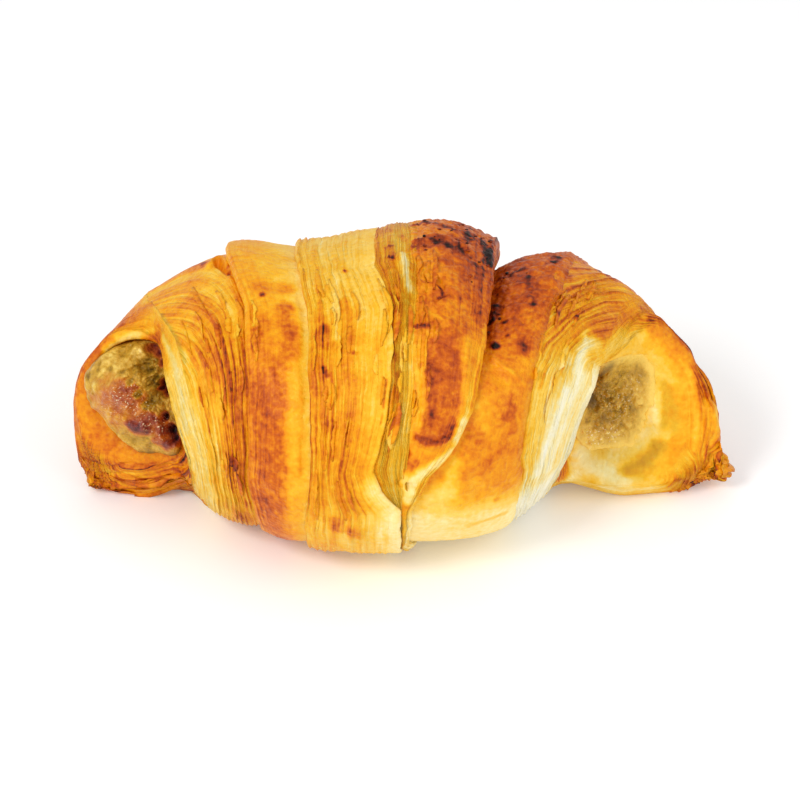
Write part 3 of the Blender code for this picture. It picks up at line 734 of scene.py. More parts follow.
def painted_reach(skin: Skin, stroke: Stroke, bumps: Array) -> Array:
    """How much a stroke covers each point.

    Args:
        skin: The rows.
        stroke: The stroke.
        bumps: Noise that makes its outline uneven.

    Returns:
        0 outside it, and its hold inside it.
    """
    cover = np.zeros(skin.share.shape)
    way = trail(skin, stroke)
    if way is None:
        return cover
    margin = stroke.wide * (1 + stroke.soft + stroke.rough) + 1
    inside = (skin.wrap == stroke.zone) & (skin.points > way.min(0) - margin).all(-1)
    inside &= (skin.points < way.max(0) + margin).all(-1)
    points = skin.points[inside]
    nearest = np.full(len(points), 1e9)
    for start, end in zip(way[:-1], way[1:]):
        arm = end - start
        long = (arm**2).sum()
        t = np.clip(((points - start) @ arm) / long, 0, 1) if long > 1e-9 else np.zeros(len(points))
        nearest = np.minimum(nearest, np.linalg.norm(points - start - t[:, None] * arm, axis=1))
    away = nearest / stroke.wide + stroke.rough * bumps[inside]
    cover[inside] = (1 - smoothstep(away, 1 - stroke.soft, 1 + stroke.soft)) * stroke.hold
    return cover


@dataclass
class Dough:
    """The rolled dough: where its skin lies, with its layers, edges and blisters."""

    around: int = 420
    nose: float = 1.1  # the largest radius of a rounded edge
    nose_turns: tuple[float, ...] = (72, 54, 36, 18, 0)  # the angles of the rows down it
    nose_layers: float = 1.2  # how much of the layers it takes
    wall_rows: int = 5  # down the step under it
    groove_rows: int = 16  # down the high step right of wrap E
    undercut: float = 0.45  # how far a step draws in as it goes down
    tuck: float = 1.6  # how far a wrap goes on under the next one
    leaf_mm: float = 1.35  # thickness of a layer
    leaf_tip: float = 0.82  # the share of a layer at which it stands highest
    angles: Array = field(init=False)
    soft: Grain = field(default_factory=lambda: Grain(11))
    fine: Grain = field(default_factory=lambda: Grain(12))
    leaf: Grain = field(default_factory=lambda: Grain(13))
    blot: Grain = field(default_factory=lambda: Grain(14))

    def __post_init__(self) -> None:
        """Lays out the angles of the points in a row."""
        self.angles = angles_around(self.around)

    def edge(self, index: int) -> Array:
        """Where an edge lies, with its unevenness.

        Args:
            index: The edge.

        Returns:
            Its body loop at every angle.
        """
        edge = EDGES[index]
        wave = self.soft.along(np.full_like(self.angles, 31.0 * index), self.angles, 1.0, edge.tooth)
        tear = self.fine.along(np.full_like(self.angles, 17.0 * index), self.angles, 1.0, edge.tooth * 0.35)
        return edge.at(self.angles) + edge.ragged * (wave + 0.5 * tear) / LOOP_MM

    def body_row(self, loop: Array, lift: Array, run: Array | float = 0.0) -> tuple:
        """One row of the body.

        Args:
            loop: The body loop at every angle.
            lift: How far the row stands off the loops.
            run: How far it is moved on along the body.

        Returns:
            The points and the outward directions.
        """
        points, outward = BODY.at(loop, self.angles)
        ahead, _ = BODY.at(loop + 0.05, self.angles)
        behind, _ = BODY.at(loop - 0.05, self.angles)
        run_way = unit(ahead - behind) * np.asarray(run)[..., None]
        return points + outward * np.asarray(lift)[..., None] + run_way, outward

    def nose_rows(self, index: int, side: int) -> list[tuple]:
        """The rounded edge of a wrap that lies over its neighbour, from its top down to under it.

        Args:
            index: The wrap.
            side: 1 for its right edge, -1 for its left edge.

        Returns:
            Rows of (points, outward, layer coordinate).
        """
        share = (1 + side) / 2
        loop = self.edge(index + (side > 0))
        high = wrap_lift(WRAPS[index], np.full_like(loop, share), self.angles)
        low = wrap_lift(WRAPS[index + side], np.full_like(loop, 1 - share), self.angles)
        step = np.maximum(high - low, EDGES[index + (side > 0)].least)
        radius = np.minimum(0.55 * step, self.nose)
        lamina = WRAP_MM * (index * WRAP_PITCH + share)
        rows = []
        for turn in np.radians(self.nose_turns):
            lift, run = high - radius * (1 - math.sin(turn)), radius * math.cos(turn)
            rows.append((lift, run, (1 - turn / 1.57) * self.nose_layers))
        wall = self.groove_rows if index == Zone.E and side > 0 else self.wall_rows
        for down in np.linspace(0, 1, wall + 1)[1:]:
            depth = (step - radius) * down
            run = radius - self.undercut * depth * down
            rows.append((high - radius - depth, run, self.nose_layers + depth.mean()))
        run = -self.tuck * 0.8 + 0 * radius
        rows.append((high - step - 0.6, run, 2 * self.nose_layers + (step - radius).mean()))
        made = []
        for lift, run, shift in rows:
            points, outward = self.body_row(loop, lift, run * side)
            made.append((points, outward, lamina + side * shift))
        return made if side > 0 else made[::-1]

    def wrap_skin(self, index: int) -> Skin:
        """A wrap's skin with its edges, before its fine relief.

        Args:
            index: The wrap.

        Returns:
            Its rows, from left to right.
        """
        wrap = WRAPS[index]
        left, right = self.edge(index), self.edge(index + 1)
        over_left = index > Zone.A and EDGES[index].over is Over.RIGHT
        over_right = index < Zone.G and EDGES[index + 1].over is Over.LEFT
        rows, shares = [], []
        if index > Zone.A:
            if over_left:
                rows += self.nose_rows(index, -1)
            else:
                rows.append(self.hidden_row(index, left, -1))
        shares += [0.0] * len(rows)
        for share in np.linspace(0, 1, wrap.rows):
            ease = share - 0.04 * math.sin(2 * math.pi * share)
            loop = left + (right - left) * ease
            lift = wrap_lift(wrap, np.full_like(loop, ease), self.angles)
            points, outward = self.body_row(loop, lift)
            lean = (1 - ease) * 0.8 if index == Zone.A else -0.6 - 0.4 * ease if index == Zone.G else 0
            leans = lean * self.slant(self.angles)
            rows.append((points, outward, WRAP_MM * (index * WRAP_PITCH + ease) + leans))
            shares.append(ease)
        if index < Zone.G:
            late = self.nose_rows(index, 1) if over_right else [self.hidden_row(index, right, 1)]
            rows += late
            shares += [1.0] * len(late)
        return self.gathered(rows, shares, index)

    def hidden_row(self, index: int, loop: Array, side: int) -> tuple:
        """The row of a wrap that lies under its neighbour.

        Args:
            index: The wrap.
            loop: The edge's body loop at every angle.
            side: 1 for its right edge, -1 for its left edge.

        Returns:
            The points, the outward directions and the layer coordinate.
        """
        lift = wrap_lift(WRAPS[index], np.full_like(loop, (1 + side) / 2), self.angles)
        points, outward = self.body_row(loop, lift - 0.25, side * self.tuck)
        return points, outward, WRAP_MM * (index * WRAP_PITCH + (1 + side) / 2) + side * self.tuck

    def gathered(self, rows: list[tuple], shares: list[float], index: int) -> Skin:
        """A skin of rows that belong to one wrap.

        Args:
            rows: Each row's points, outward directions and layer coordinate.
            shares: How far across the wrap each row is.
            index: The wrap.

        Returns:
            The skin.
        """
        count = len(self.angles)
        wide = np.ones(count)
        return Skin(
            np.array([row[0] for row in rows]),
            np.array([row[1] for row in rows]),
            np.array([self.angles for _ in rows]),
            np.array([share * wide for share in shares]),
            np.array([row[2] * wide for row in rows]),
            np.full((len(rows), count), index),
        )

    @staticmethod
    def slant(angle: Array) -> Array:
        """How far the layers of both ends lean outwards, in millimetres, as they go over the top."""
        return 17 * (smoothstep(48 - angle, 0, 88) - smoothstep(-angle, 115, 175))

    def end_skin(self, mouth: Mouth) -> Skin:
        """The dough from the body's rim round and into a mouth.

        Args:
            mouth: The open end.

        Returns:
            The rows, from the rim inwards.
        """
        side, angle = mouth.side, self.angles
        index, share = (Zone.A, 0.0) if side < 0 else (Zone.G, 1.0)
        lift = wrap_lift(WRAPS[index], np.full_like(angle, share), angle)
        turned = (angle + 360) % 360
        fold = smoothstep((turned + 60) % 360 - 60, mouth.fold[0], mouth.fold[1])
        fold = fold * (1 - smoothstep(turned, mouth.fold[2], mouth.fold[3]))
        rim = self.body_row(self.edge(0 if side < 0 else len(WRAPS)), lift)[0]
        tip = self.body_row(np.full_like(angle, mouth.rim), lift)[0]
        centre = tip.mean(0)
        arm = unit(centre - tip)

        def outer(loop: float) -> Array:
            """One loop of the roll."""
            return mouth.roll.at(np.full_like(angle, loop), angle)[0]

        top = (1 - smoothstep(np.abs(angle - 5), 30, 75))[:, None]
        ring = outer(4.0) + top * np.array(mouth.open_top)
        ring[:, 1] -= mouth.brow[0] * np.exp(-(((angle - mouth.brow[1]) / mouth.brow[2]) ** 2))
        middle = ring.mean(0)
        inwards = unit(middle - ring)
        facing = towards_viewer(ring, middle)
        about = turned_once(angle - mouth.broad[0])
        lip = (mouth.lip + mouth.broad[1] * np.exp(-((about / mouth.broad[2]) ** 2)))[:, None]
        crest = ring + inwards * lip * 0.5 + facing * mouth.crest
        inner = ring + inwards * lip
        back_face = tip + arm * mouth.thick
        face = rim * 0.5 + back_face * 0.5
        between = (back_face + inner) / 2

        def mixed(folded: Array, smooth: Array) -> Array:
            """A row that is folded where the rim is, and smooth elsewhere."""
            return folded * fold[:, None] + smooth * (1 - fold[:, None])

        straight = top if side > 0 else 0.5 * top

        def behind(share: float, loop: float) -> Array:
            """A row of the roll, drawn straight from rim to mouth at its top."""
            return (rim * (1 - share) + ring * share) * straight + outer(loop) * (1 - straight)

        stations = [
            (rim, 0),
            (mixed(face * 0.6 + rim * 0.4, rim * 0.7 + behind(0.3, 2.6) * 0.3), 8),
            (mixed(back_face * 0.8 + face * 0.2, rim * 0.35 + behind(0.45, 2.7) * 0.65), 10),
            (mixed(back_face * 0.9 + between * 0.1, behind(0.5, 2.95)), 10),
            (mixed(back_face * 0.7 + between * 0.3, behind(0.65, 3.3)), 20),
            (mixed(between, behind(0.85, 3.65)), 22),
            (mixed(between * 0.4 + inner * 0.6, ring), 22),
            (mixed(inner, crest), 6),
            (inner, 6),
        ]
        lean = np.array(mouth.lean, float)
        for size, sink, rows in mouth.steps:
            heart = inner.mean(0) + lean * (1 - size)
            stations.append((heart + (inner - inner.mean(0)) * size - facing * mouth.depth * sink, rows))
        keys = np.array([station[0] for station in stations])
        places = np.concatenate([[0], np.cumsum([station[1] for station in stations[1:]])])
        slopes = np.gradient(keys, places, axis=0)
        made = []
        for i in range(len(keys) - 1):
            gap = places[i + 1] - places[i]
            for u in np.arange(1, gap + 1) / gap:
                rise = u * u * (3 - 2 * u)
                row = keys[i] * (1 - rise) + keys[i + 1] * rise
                bow = slopes[i] * u * (1 - u) ** 2 - slopes[i + 1] * u * u * (1 - u)
                made.append(row + gap * bow * 0.8)
        points = np.array(made)
        outward = np.cross(np.gradient(points, axis=1), np.gradient(points, axis=0)) * side
        outward = outward / (np.linalg.norm(outward, axis=-1, keepdims=True) + 1e-9)
        gaps = np.linalg.norm(np.diff(points, axis=0), axis=-1).mean(1)
        run = 0.3 + np.concatenate([[0], np.cumsum(gaps)])
        wide = np.ones((len(made), len(angle)))
        shares = np.linspace(0, 1, len(made))[:, None] * wide
        tilt, place, reach, spread, depth = mouth.corner
        torn = np.exp(-(((angle * wide - tilt) / spread) ** 2) - ((shares - place) / depth) ** 2)
        sheet = np.floor(run / 1.1)[:, None] * 7.7
        leaf = self.leaf.at(sheet, angle / 9, 4.0) + 0.5 * self.fine.at(sheet, angle / 2.5, 2.0)
        points = points + outward * (torn * reach * np.clip(0.6 + 0.7 * leaf, 0.15, 1.1))[..., None]
        lamina = (WRAP_MM * (index * WRAP_PITCH + share) + side * run)[:, None]
        lamina = lamina - side * self.slant(angle) * wide
        return Skin(points, outward, angle * wide, shares, lamina, np.full(wide.shape, mouth.zone))

    def layered(self, skin: Skin) -> Array:
        """How strongly the layers show.

        Args:
            skin: The rows.

        Returns:
            0 to 1 at each point.
        """
        amount = np.zeros(skin.angle.shape)
        for index, wrap in enumerate(WRAPS):
            amount = np.where(skin.wrap == index, across(wrap.layered, skin.share), amount)
        up = 1 - smoothstep(np.abs(skin.angle + 35), 60, 95)
        left = (0.9 - 0.65 * up) * (1 - smoothstep(skin.share, 0.6, 0.7))
        amount = np.where(skin.wrap == Zone.LEFT, left, amount)
        inside = 1 - smoothstep(np.abs(skin.angle - 10), 30, 85)
        under = smoothstep(skin.angle, 112, 145) + smoothstep(-skin.angle, 160, 178)
        right = (0.95 - 0.7 * under) * (1 - smoothstep(skin.share + 0.26 * inside, 0.5, 0.74))
        right = right * (1 - 0.6 * inside * (1 - smoothstep(skin.share, 0.1, 0.35)))
        amount = np.where(skin.wrap == Zone.RIGHT, right, amount)
        return np.clip(amount, 0, 1)

    def relief(self, skin: Skin) -> tuple[Array, Array]:
        """The fine relief of a skin.

        Args:
            skin: The rows.

        Returns:
            How far each point is raised, and how much browner its place in the layers makes it.
        """
        lam, angle, points = skin.lamina, skin.angle, skin.points
        amount = self.layered(skin)
        warp = 1.1 * self.soft.along(lam, angle, 9, 40) + 0.16 * self.fine.along(lam, angle, 3, 15)
        x = lam + warp
        place = x / self.leaf_mm + 0.8 * self.leaf.along(x, angle, 9, 44)
        leaf = np.floor(place)
        part = place - leaf
        tip = self.leaf_tip
        saw = np.where(part < tip, (part / tip) ** 1.4, 1 - smoothstep(part, tip, 1.0))
        strength = np.clip(0.55 + 0.9 * self.fine.along(leaf * 7.3, angle, 1.0, 26), 0, 1.3)
        crack = smoothstep(part, 0.72, 0.86) * (1 - smoothstep(part, 0.92, 1.0)) * np.clip(strength, 0, 1)
        ridge = 1 - 2 * np.abs(self.leaf.along(x, angle, 0.8, 26))
        slow = self.soft.along(x, angle, 3.4, 40)
        layers = 0.62 * saw * strength + 0.16 * ridge + 0.36 * slow
        blister = 0.3 * self.blot.space(points, 9) + 0.14 * self.fine.space(points, 3.1)
        burnt = np.isin(skin.wrap, (Zone.E, Zone.F)) * (1 - smoothstep(angle, 18, 45))
        burnt = burnt * smoothstep(angle, -75, -50)
        crags = 0.9 * np.abs(self.leaf.space(points, 2.6)) + 0.4 * np.abs(self.soft.space(points, 1.1))
        blister = blister + 0.05 * self.leaf.space(points, 1.2) + burnt * (crags - 0.35)
        height = amount * layers + (1 - 0.6 * amount) * blister
        for press in PRESSES:
            height = height + press.level * painted_reach(skin, press, 0.6 * self.fine.space(points, 2.5))
        tone = amount * (0.3 * saw * strength + 0.34 * crack + 0.22 * ridge + 0.22 * slow - 0.2)
        return height, tone

    def shaped(self, skin: Skin) -> tuple[Array, Array]:
        """A skin with its fine relief, pressed flat on the table.

        Args:
            skin: The rows before it.

        Returns:
            The points, and how much browner the layers make each of them.
        """
        height, tone = self.relief(skin)
        points = skin.points + skin.outward * height[..., None]
        points[..., 2] = np.maximum(points[..., 2], 0.0)
        return points, tone


@dataclass
class Browning:
    """How brown the dough is baked all over."""

    dough: Dough
    ring: Grain = field(default_factory=lambda: Grain(21))
    spot: Grain = field(default_factory=lambda: Grain(22))

    def base(self, skin: Skin) -> Array:
        """The browning that each zone has before any stroke.

        Args:
            skin: The rows.

        Returns:
            Its level at each point.
        """
        angle = skin.angle
        front = smoothstep(np.abs(angle - CREST + 5), 45, 75)
        low = smoothstep(np.abs(angle), 84, 108)
        level = np.full(angle.shape, 0.3)
        for index, wrap in enumerate(WRAPS):
            top, middle, lower = (across(row, skin.share) for row in wrap.baked)
            mixed = top * (1 - front) + middle * front
            mixed = mixed * (1 - low) + lower * low
            level = np.where(skin.wrap == index, mixed, level)
        crust = np.interp(skin.share, (0, 0.1, 0.3, 0.6, 0.7, 0.85, 1),
                          (0.32, 0.52, 0.61, 0.6, 0.55, 0.59, 0.7))
        rim = smoothstep(np.abs((angle + 360) % 360 - 85), 75, 45) * (1 - smoothstep(skin.share, 0.2, 0.3))
        level = np.where(skin.wrap == Zone.LEFT, crust * (1 - rim) + 0.2 * rim, level)
        inside = 1 - smoothstep(np.abs(angle - 10), 30, 85)
        bowl = np.interp(skin.share + 0.25 * inside, (0, 0.1, 0.25, 0.4, 0.55, 0.7, 0.85, 1.4),
                         (0.5, 0.52, 0.54, 0.5, 0.44, 0.36, 0.27, 0.22))
        level = np.where(skin.wrap == Zone.RIGHT, bowl * (1 - rim) + 0.06 * rim, level)
        return level

    def painted(self, skin: Skin, tone: Array) -> tuple[Array, Array]:
        """The level of browning and the green of the nut cream all over a skin.

        Args:
            skin: The rows.
            tone: How much browner the layers make each point.

        Returns:
            The browning and the green.
        """
        points = skin.points
        bumps = 0.7 * self.spot.space(points, 3.2) + 0.4 * self.ring.space(points, 1.3)
        level = self.base(skin)
        patchy = smoothstep(self.ring.space(points, 2.4) + 0.4 * self.spot.space(points, 0.9), -0.35, 0.25)
        for stroke in STROKES:
            cover = painted_reach(skin, stroke, bumps)
            cover = cover * patchy if stroke.wide < FINE_LINE else cover
            level = level + (stroke.level - level) * cover
        amount = np.clip(level * 1.7, 0.12, 1)
        uneven = 0.62 * tone + 0.09 * self.spot.space(points, 5) + 0.06 * self.ring.space(points, 1.7)
        level = level + amount * uneven
        green = np.zeros(level.shape)
        for stroke in GREENS:
            green = np.maximum(green, stroke.level * painted_reach(skin, stroke, bumps))
        return np.clip(level, 0, 1.2), green


def capped(rows: Array) -> Array:
    """Rows with one more row at each end, drawn to its middle.

    Args:
        rows: Rows of points or of values.

    Returns:
        All the rows.
    """
    first = np.broadcast_to(rows[0, :-1].mean(0), rows[0].shape)
    last = np.broadcast_to(rows[-1, :-1].mean(0), rows[-1].shape)
    return np.concatenate([first[None], rows, last[None]])


def vertex_places(mesh: bpy.types.Mesh) -> Array:
    """Where a mesh's vertices are.

    Args:
        mesh: The mesh.

    Returns:
        Their places, a row each.
    """
    flat = np.empty(len(mesh.vertices) * 3, np.float32)
    mesh.vertices.foreach_get("co", flat)
    return flat.reshape(-1, 3)


def store(mesh: bpy.types.Mesh, name: str, values: Array) -> None:
    """Keeps a number on each of a mesh's vertices, for its material."""
    mesh.attributes.new(name, "FLOAT", "POINT").data.foreach_set("value", values.astype(np.float32))


def dressed(piece: bpy.types.Object, finish: bpy.types.Material) -> bpy.types.Object:
    """Gives a finished piece its material, and reports it.

    Args:
        piece: The piece.
        finish: Its material.

    Returns:
        The piece.
    """
    piece.data.materials.append(finish)
    REPORT.info("%s: %d faces", piece.name, len(piece.data.polygons))
    return piece


def grid_object(name: str, points: Array, coords: Array, values: dict[str, Array],
                ends_open: bool = False) -> bpy.types.Object:
    """A closed skin over rows of points.

    Args:
        name: The piece's name.
        points: Rows of points in millimetres. The last point of a row is its first again.
        coords: The UV coordinates of the points.
        values: Attributes of the points, by name.
        ends_open: Whether the first and last rows still have to be drawn to a point.

    Returns:
        The object, smooth, with its faces outwards.
    """
    if ends_open:
        points, coords = capped(points), capped(coords)
        values = {key: capped(value) for key, value in values.items()}
    rows, count = points.shape[:2]
    bpy.ops.object.select_all(action="DESELECT")
    bpy.ops.mesh.primitive_grid_add(x_subdivisions=count - 1, y_subdivisions=rows - 1, size=2)
    thing = bpy.context.object
    thing.name = thing.data.name = name
    mesh = thing.data
    flat = vertex_places(mesh)
    column = np.rint((flat[:, 0] + 1) / 2 * (count - 1)).astype(int)
    row = np.rint((flat[:, 1] + 1) / 2 * (rows - 1)).astype(int)
    placed = points[row, column] * MM
    mesh.vertices.foreach_set("co", placed.astype(np.float32).ravel())
    corner = np.empty(len(mesh.loops), np.int32)
    mesh.loops.foreach_get("vertex_index", corner)
    laid = coords[row, column][corner]
    mesh.uv_layers[0].data.foreach_set("uv", laid.astype(np.float32).ravel())
    for key, value in values.items():
        store(mesh, key, value[row, column])
    bpy.ops.object.mode_set(mode="EDIT")
    bpy.ops.mesh.select_all(action="SELECT")
    bpy.ops.mesh.remove_doubles(threshold=1e-6)
    bpy.ops.mesh.normals_make_consistent(inside=False)
    bpy.ops.object.mode_set(mode="OBJECT")
    bpy.ops.object.shade_smooth()
    return thing


class Socket:
    """A number that a material works out, for use in Python expressions."""

    def __init__(self, bench: "Bench", out: bpy.types.NodeSocket) -> None:
        """Wraps a node's output."""
        self.bench, self.out = bench, out

    def maths(self, operation: str, *values: "Socket | float") -> "Socket":
        """A Math node on values."""
        return self.bench.node("ShaderNodeMath", {"operation": operation}, dict(enumerate(values)))

    def __add__(self, other: "Socket | float") -> "Socket":
        """The sum."""
        return self.maths("ADD", self, other)

    __radd__ = __add__

    def __sub__(self, other: "Socket | float") -> "Socket":
        """The difference."""
        return self.maths("SUBTRACT", self, other)

    def __rsub__(self, other: float) -> "Socket":
        """The difference the other way round."""
        return self.maths("SUBTRACT", other, self)

    def __mul__(self, other: "Socket | float") -> "Socket":
        """The product."""
        return self.maths("MULTIPLY", self, other)

    __rmul__ = __mul__

    def clamped(self) -> "Socket":
        """The value held between 0 and 1."""
        return self.maths("MINIMUM", self.maths("MAXIMUM", self, 0.0), 1.0)


class Bench:
    """Builds one material's nodes."""

    def __init__(self, name: str) -> None:
        """Starts a material with its own shader.

        Args:
            name: The material's name.
        """
        self.material = bpy.data.materials.new(name)
        self.material.use_nodes = True
        self.tree = self.material.node_tree
        self.shader = self.tree.nodes["Principled BSDF"]

    def node(self, kind: str, settings: dict | None = None, inputs: dict | None = None,
             out: int | str = 0) -> Socket:
        """Adds a node.

        Args:
            kind: The node's type.
            settings: Its own settings, and a ramp's stops under "stops".
            inputs: Values or links for its sockets, by name or number.
            out: Which output is wanted.

        Returns:
            The output.
        """
        made = self.tree.nodes.new(kind)
        for key, value in (settings or {}).items():
            if key == "stops":
                self.fill_ramp(made.color_ramp, value)
            else:
                setattr(made, key, value)
        for key, value in (inputs or {}).items():
            self.feed(made.inputs[key], value)
        return Socket(self, made.outputs[out])

    def feed(self, socket: bpy.types.NodeSocket, value: "Socket | float | tuple") -> None:
        """Links or sets a socket.

        Args:
            socket: The socket.
            value: What it is linked to or set to.
        """
        if isinstance(value, Socket):
            self.tree.links.new(value.out, socket)
        else:
            socket.default_value = value

    @staticmethod
    def fill_ramp(ramp: bpy.types.ColorRamp, stops: list[tuple[float, tuple]]) -> None:
        """Sets a ramp's stops.

        Args:
            ramp: The ramp.
            stops: Places on it and their colours, in order.
        """
        while len(ramp.elements) > 1:
            ramp.elements.remove(ramp.elements[-1])
        for i, (place, colour) in enumerate(stops):
            stop = ramp.elements[0] if i == 0 else ramp.elements.new(place)
            stop.position = place
            stop.color = (*colour, 1.0)

    def attribute(self, name: str) -> Socket:
        """A number stored on the piece's points."""
        return self.node("ShaderNodeAttribute", {"attribute_name": name}, out="Fac")

    def noise(self, where: Socket, scale: float, detail: float = 2.0) -> Socket:
        """Noise between 0 and 1."""
        return self.node("ShaderNodeTexNoise", {}, {"Vector": where, "Scale": scale, "Detail": detail})

    def mix(self, share: "Socket | float", first: "Socket | tuple", second: "Socket | tuple") -> Socket:
        """A blend of two colours."""
        return self.node("ShaderNodeMix", {"data_type": "RGBA"}, {0: share, 6: first, 7: second}, out=2)

    def ramp(self, place: Socket, tones: tuple) -> Socket:
        """A run through screen colours, read at a place between 0 and 1."""
        stops = [(at, linear(*tone)) for at, tone in tones]
        return self.node("ShaderNodeValToRGB", {"stops": stops}, {0: place.clamped()})

    def bump(self, height: Socket, strength: float, distance: float) -> Socket:
        """The surface's direction, tilted by a height."""
        inputs = {"Strength": strength, "Distance": distance, "Height": height}
        return self.node("ShaderNodeBump", {}, inputs)

    def finished(self, inputs: dict[str, "Socket | float | tuple"]) -> bpy.types.Material:
        """The material, its shader fed by the names of its sockets.

        Args:
            inputs: What the sockets are linked to or set to.

        Returns:
            The material.
        """
        for key, value in inputs.items():
            self.feed(self.shader.inputs[key], value)
        return self.material


def linear(red: int, green: int, blue: int) -> Triple:
    """A screen colour as the values that a shader takes.

    Args:
        red: Its red, 0 to 255.
        green: Its green.
        blue: Its blue.

    Returns:
        The linear values, 0 to 1.
    """

    def one(value: int) -> float:
        """One channel."""
        share = value / 255
        return share / 12.92 if share <= 0.04045 else ((share + 0.055) / 1.055) ** 2.4

    return one(red), one(green), one(blue)


@dataclass(frozen=True)
class Crust:
    """Egg-washed, baked dough."""

    name: str = "baked_dough"
    stops: tuple = (
        (0.0, (252, 247, 222)), (0.09, (250, 234, 170)), (0.2, (247, 206, 92)), (0.32, (243, 184, 34)),
        (0.44, (238, 158, 6)), (0.55, (226, 132, 3)), (0.65, (204, 98, 4)), (0.75, (172, 68, 8)),
        (0.84, (126, 44, 14)), (0.92, (74, 26, 12)), (1.0, (30, 12, 8)),
    )
    stain: tuple[int, int, int] = (172, 152, 40)  # where the cream has touched it

    def made(self) -> bpy.types.Material:
        """Makes the finish.

        Returns:
            The material.
        """
        bench = Bench(self.name)
        uv = bench.node("ShaderNodeTexCoord", out="UV")
        spread = bench.node("ShaderNodeMapping", {}, {"Vector": uv, "Scale": (1.0, 0.035, 1.0)})
        place = bench.node("ShaderNodeTexCoord", out="Object")
        level = bench.attribute("baked")
        green = bench.attribute("green")
        layered = bench.attribute("layered")
        lines = bench.noise(spread, 1.9, 3.0) - 0.5
        flecks = bench.noise(place, 900.0, 3.0) - 0.5
        cloud = bench.noise(place, 260.0, 2.0) - 0.5
        char = bench.noise(place, 520.0, 4.0) - 0.46
        burnt = ((level - 0.72) * 5.0).clamped()
        depth = (level * 1.3 + 0.2).clamped()
        brown = level + (lines * layered * 0.9 + flecks * 0.36 + cloud * 0.18) * depth + char * burnt * 1.1
        stained = bench.mix(green, bench.ramp(brown, self.stops), (*linear(*self.stain), 1.0))
        height = lines * layered * 1.4 + flecks * 0.6 + cloud * 0.4 + char * burnt * 1.6
        return bench.finished({
            "Base Color": stained,
            "Roughness": 0.52 - level * 0.14 + flecks * 0.25 + burnt * 0.12,
            "Specular IOR Level": 0.2,
            "Normal": bench.bump(height, 1.0, 0.0007),
        })


@dataclass(frozen=True)
class NutCream:
    """Baked pistachio cream, olive green and browned where it stands out."""

    name: str = "pistachio_cream"
    greens: tuple = (
        (0.0, (250, 226, 146)), (0.15, (238, 200, 92)), (0.3, (206, 158, 48)), (0.42, (170, 128, 30)),
        (0.58, (124, 90, 18)), (0.78, (76, 50, 12)), (1.0, (38, 22, 8)),
    )
    browns: tuple = (
        (0.0, (214, 160, 56)), (0.26, (214, 138, 36)), (0.46, (190, 104, 38)), (0.64, (160, 74, 40)),
        (0.8, (120, 46, 40)), (0.9, (72, 30, 32)), (1.0, (26, 12, 10)),
    )
    golden: tuple[int, int, int] = (243, 203, 90)  # at the pool's rim
    glint: tuple[int, int, int] = (255, 238, 192)  # the colour of the glints painted where it is glossy

    def made(self) -> bpy.types.Material:
        """Makes the finish.

        Returns:
            The material.
        """
        bench = Bench(self.name)
        place = bench.node("ShaderNodeTexCoord", out="Object")
        shade, toast, rim, moist = (bench.attribute(name) for name in ("shade", "toast", "rim", "moist"))
        grit = bench.noise(place, 1100.0, 3.0) - 0.5
        cloud = bench.noise(place, 380.0, 3.0) - 0.5
        mottle = grit * 0.3 + cloud * 0.35
        greens = bench.ramp(shade + mottle, self.greens)
        browns = bench.ramp(toast + mottle, self.browns)
        colour = bench.mix(((toast + mottle * 0.5 - 0.08) * 3.4).clamped(), greens, browns)
        colour = bench.mix(rim, colour, (*linear(*self.golden), 1.0))
        # painted glints: pale specks mixed into its colour where it is glossy
        painted_glints = ((bench.noise(place, 2100.0, 1.0) - 0.61) * 9.0).clamped() * moist * 0.9
        return bench.finished({
            "Base Color": bench.mix(painted_glints, colour, (*linear(*self.glint), 1.0)),
            "Roughness": 0.4 + grit * 0.4 + rim * 0.14 - moist * 0.2,
            "Specular IOR Level": 0.4,
            "Normal": bench.bump(grit + cloud * 0.6, 0.6, 0.0008),
        })


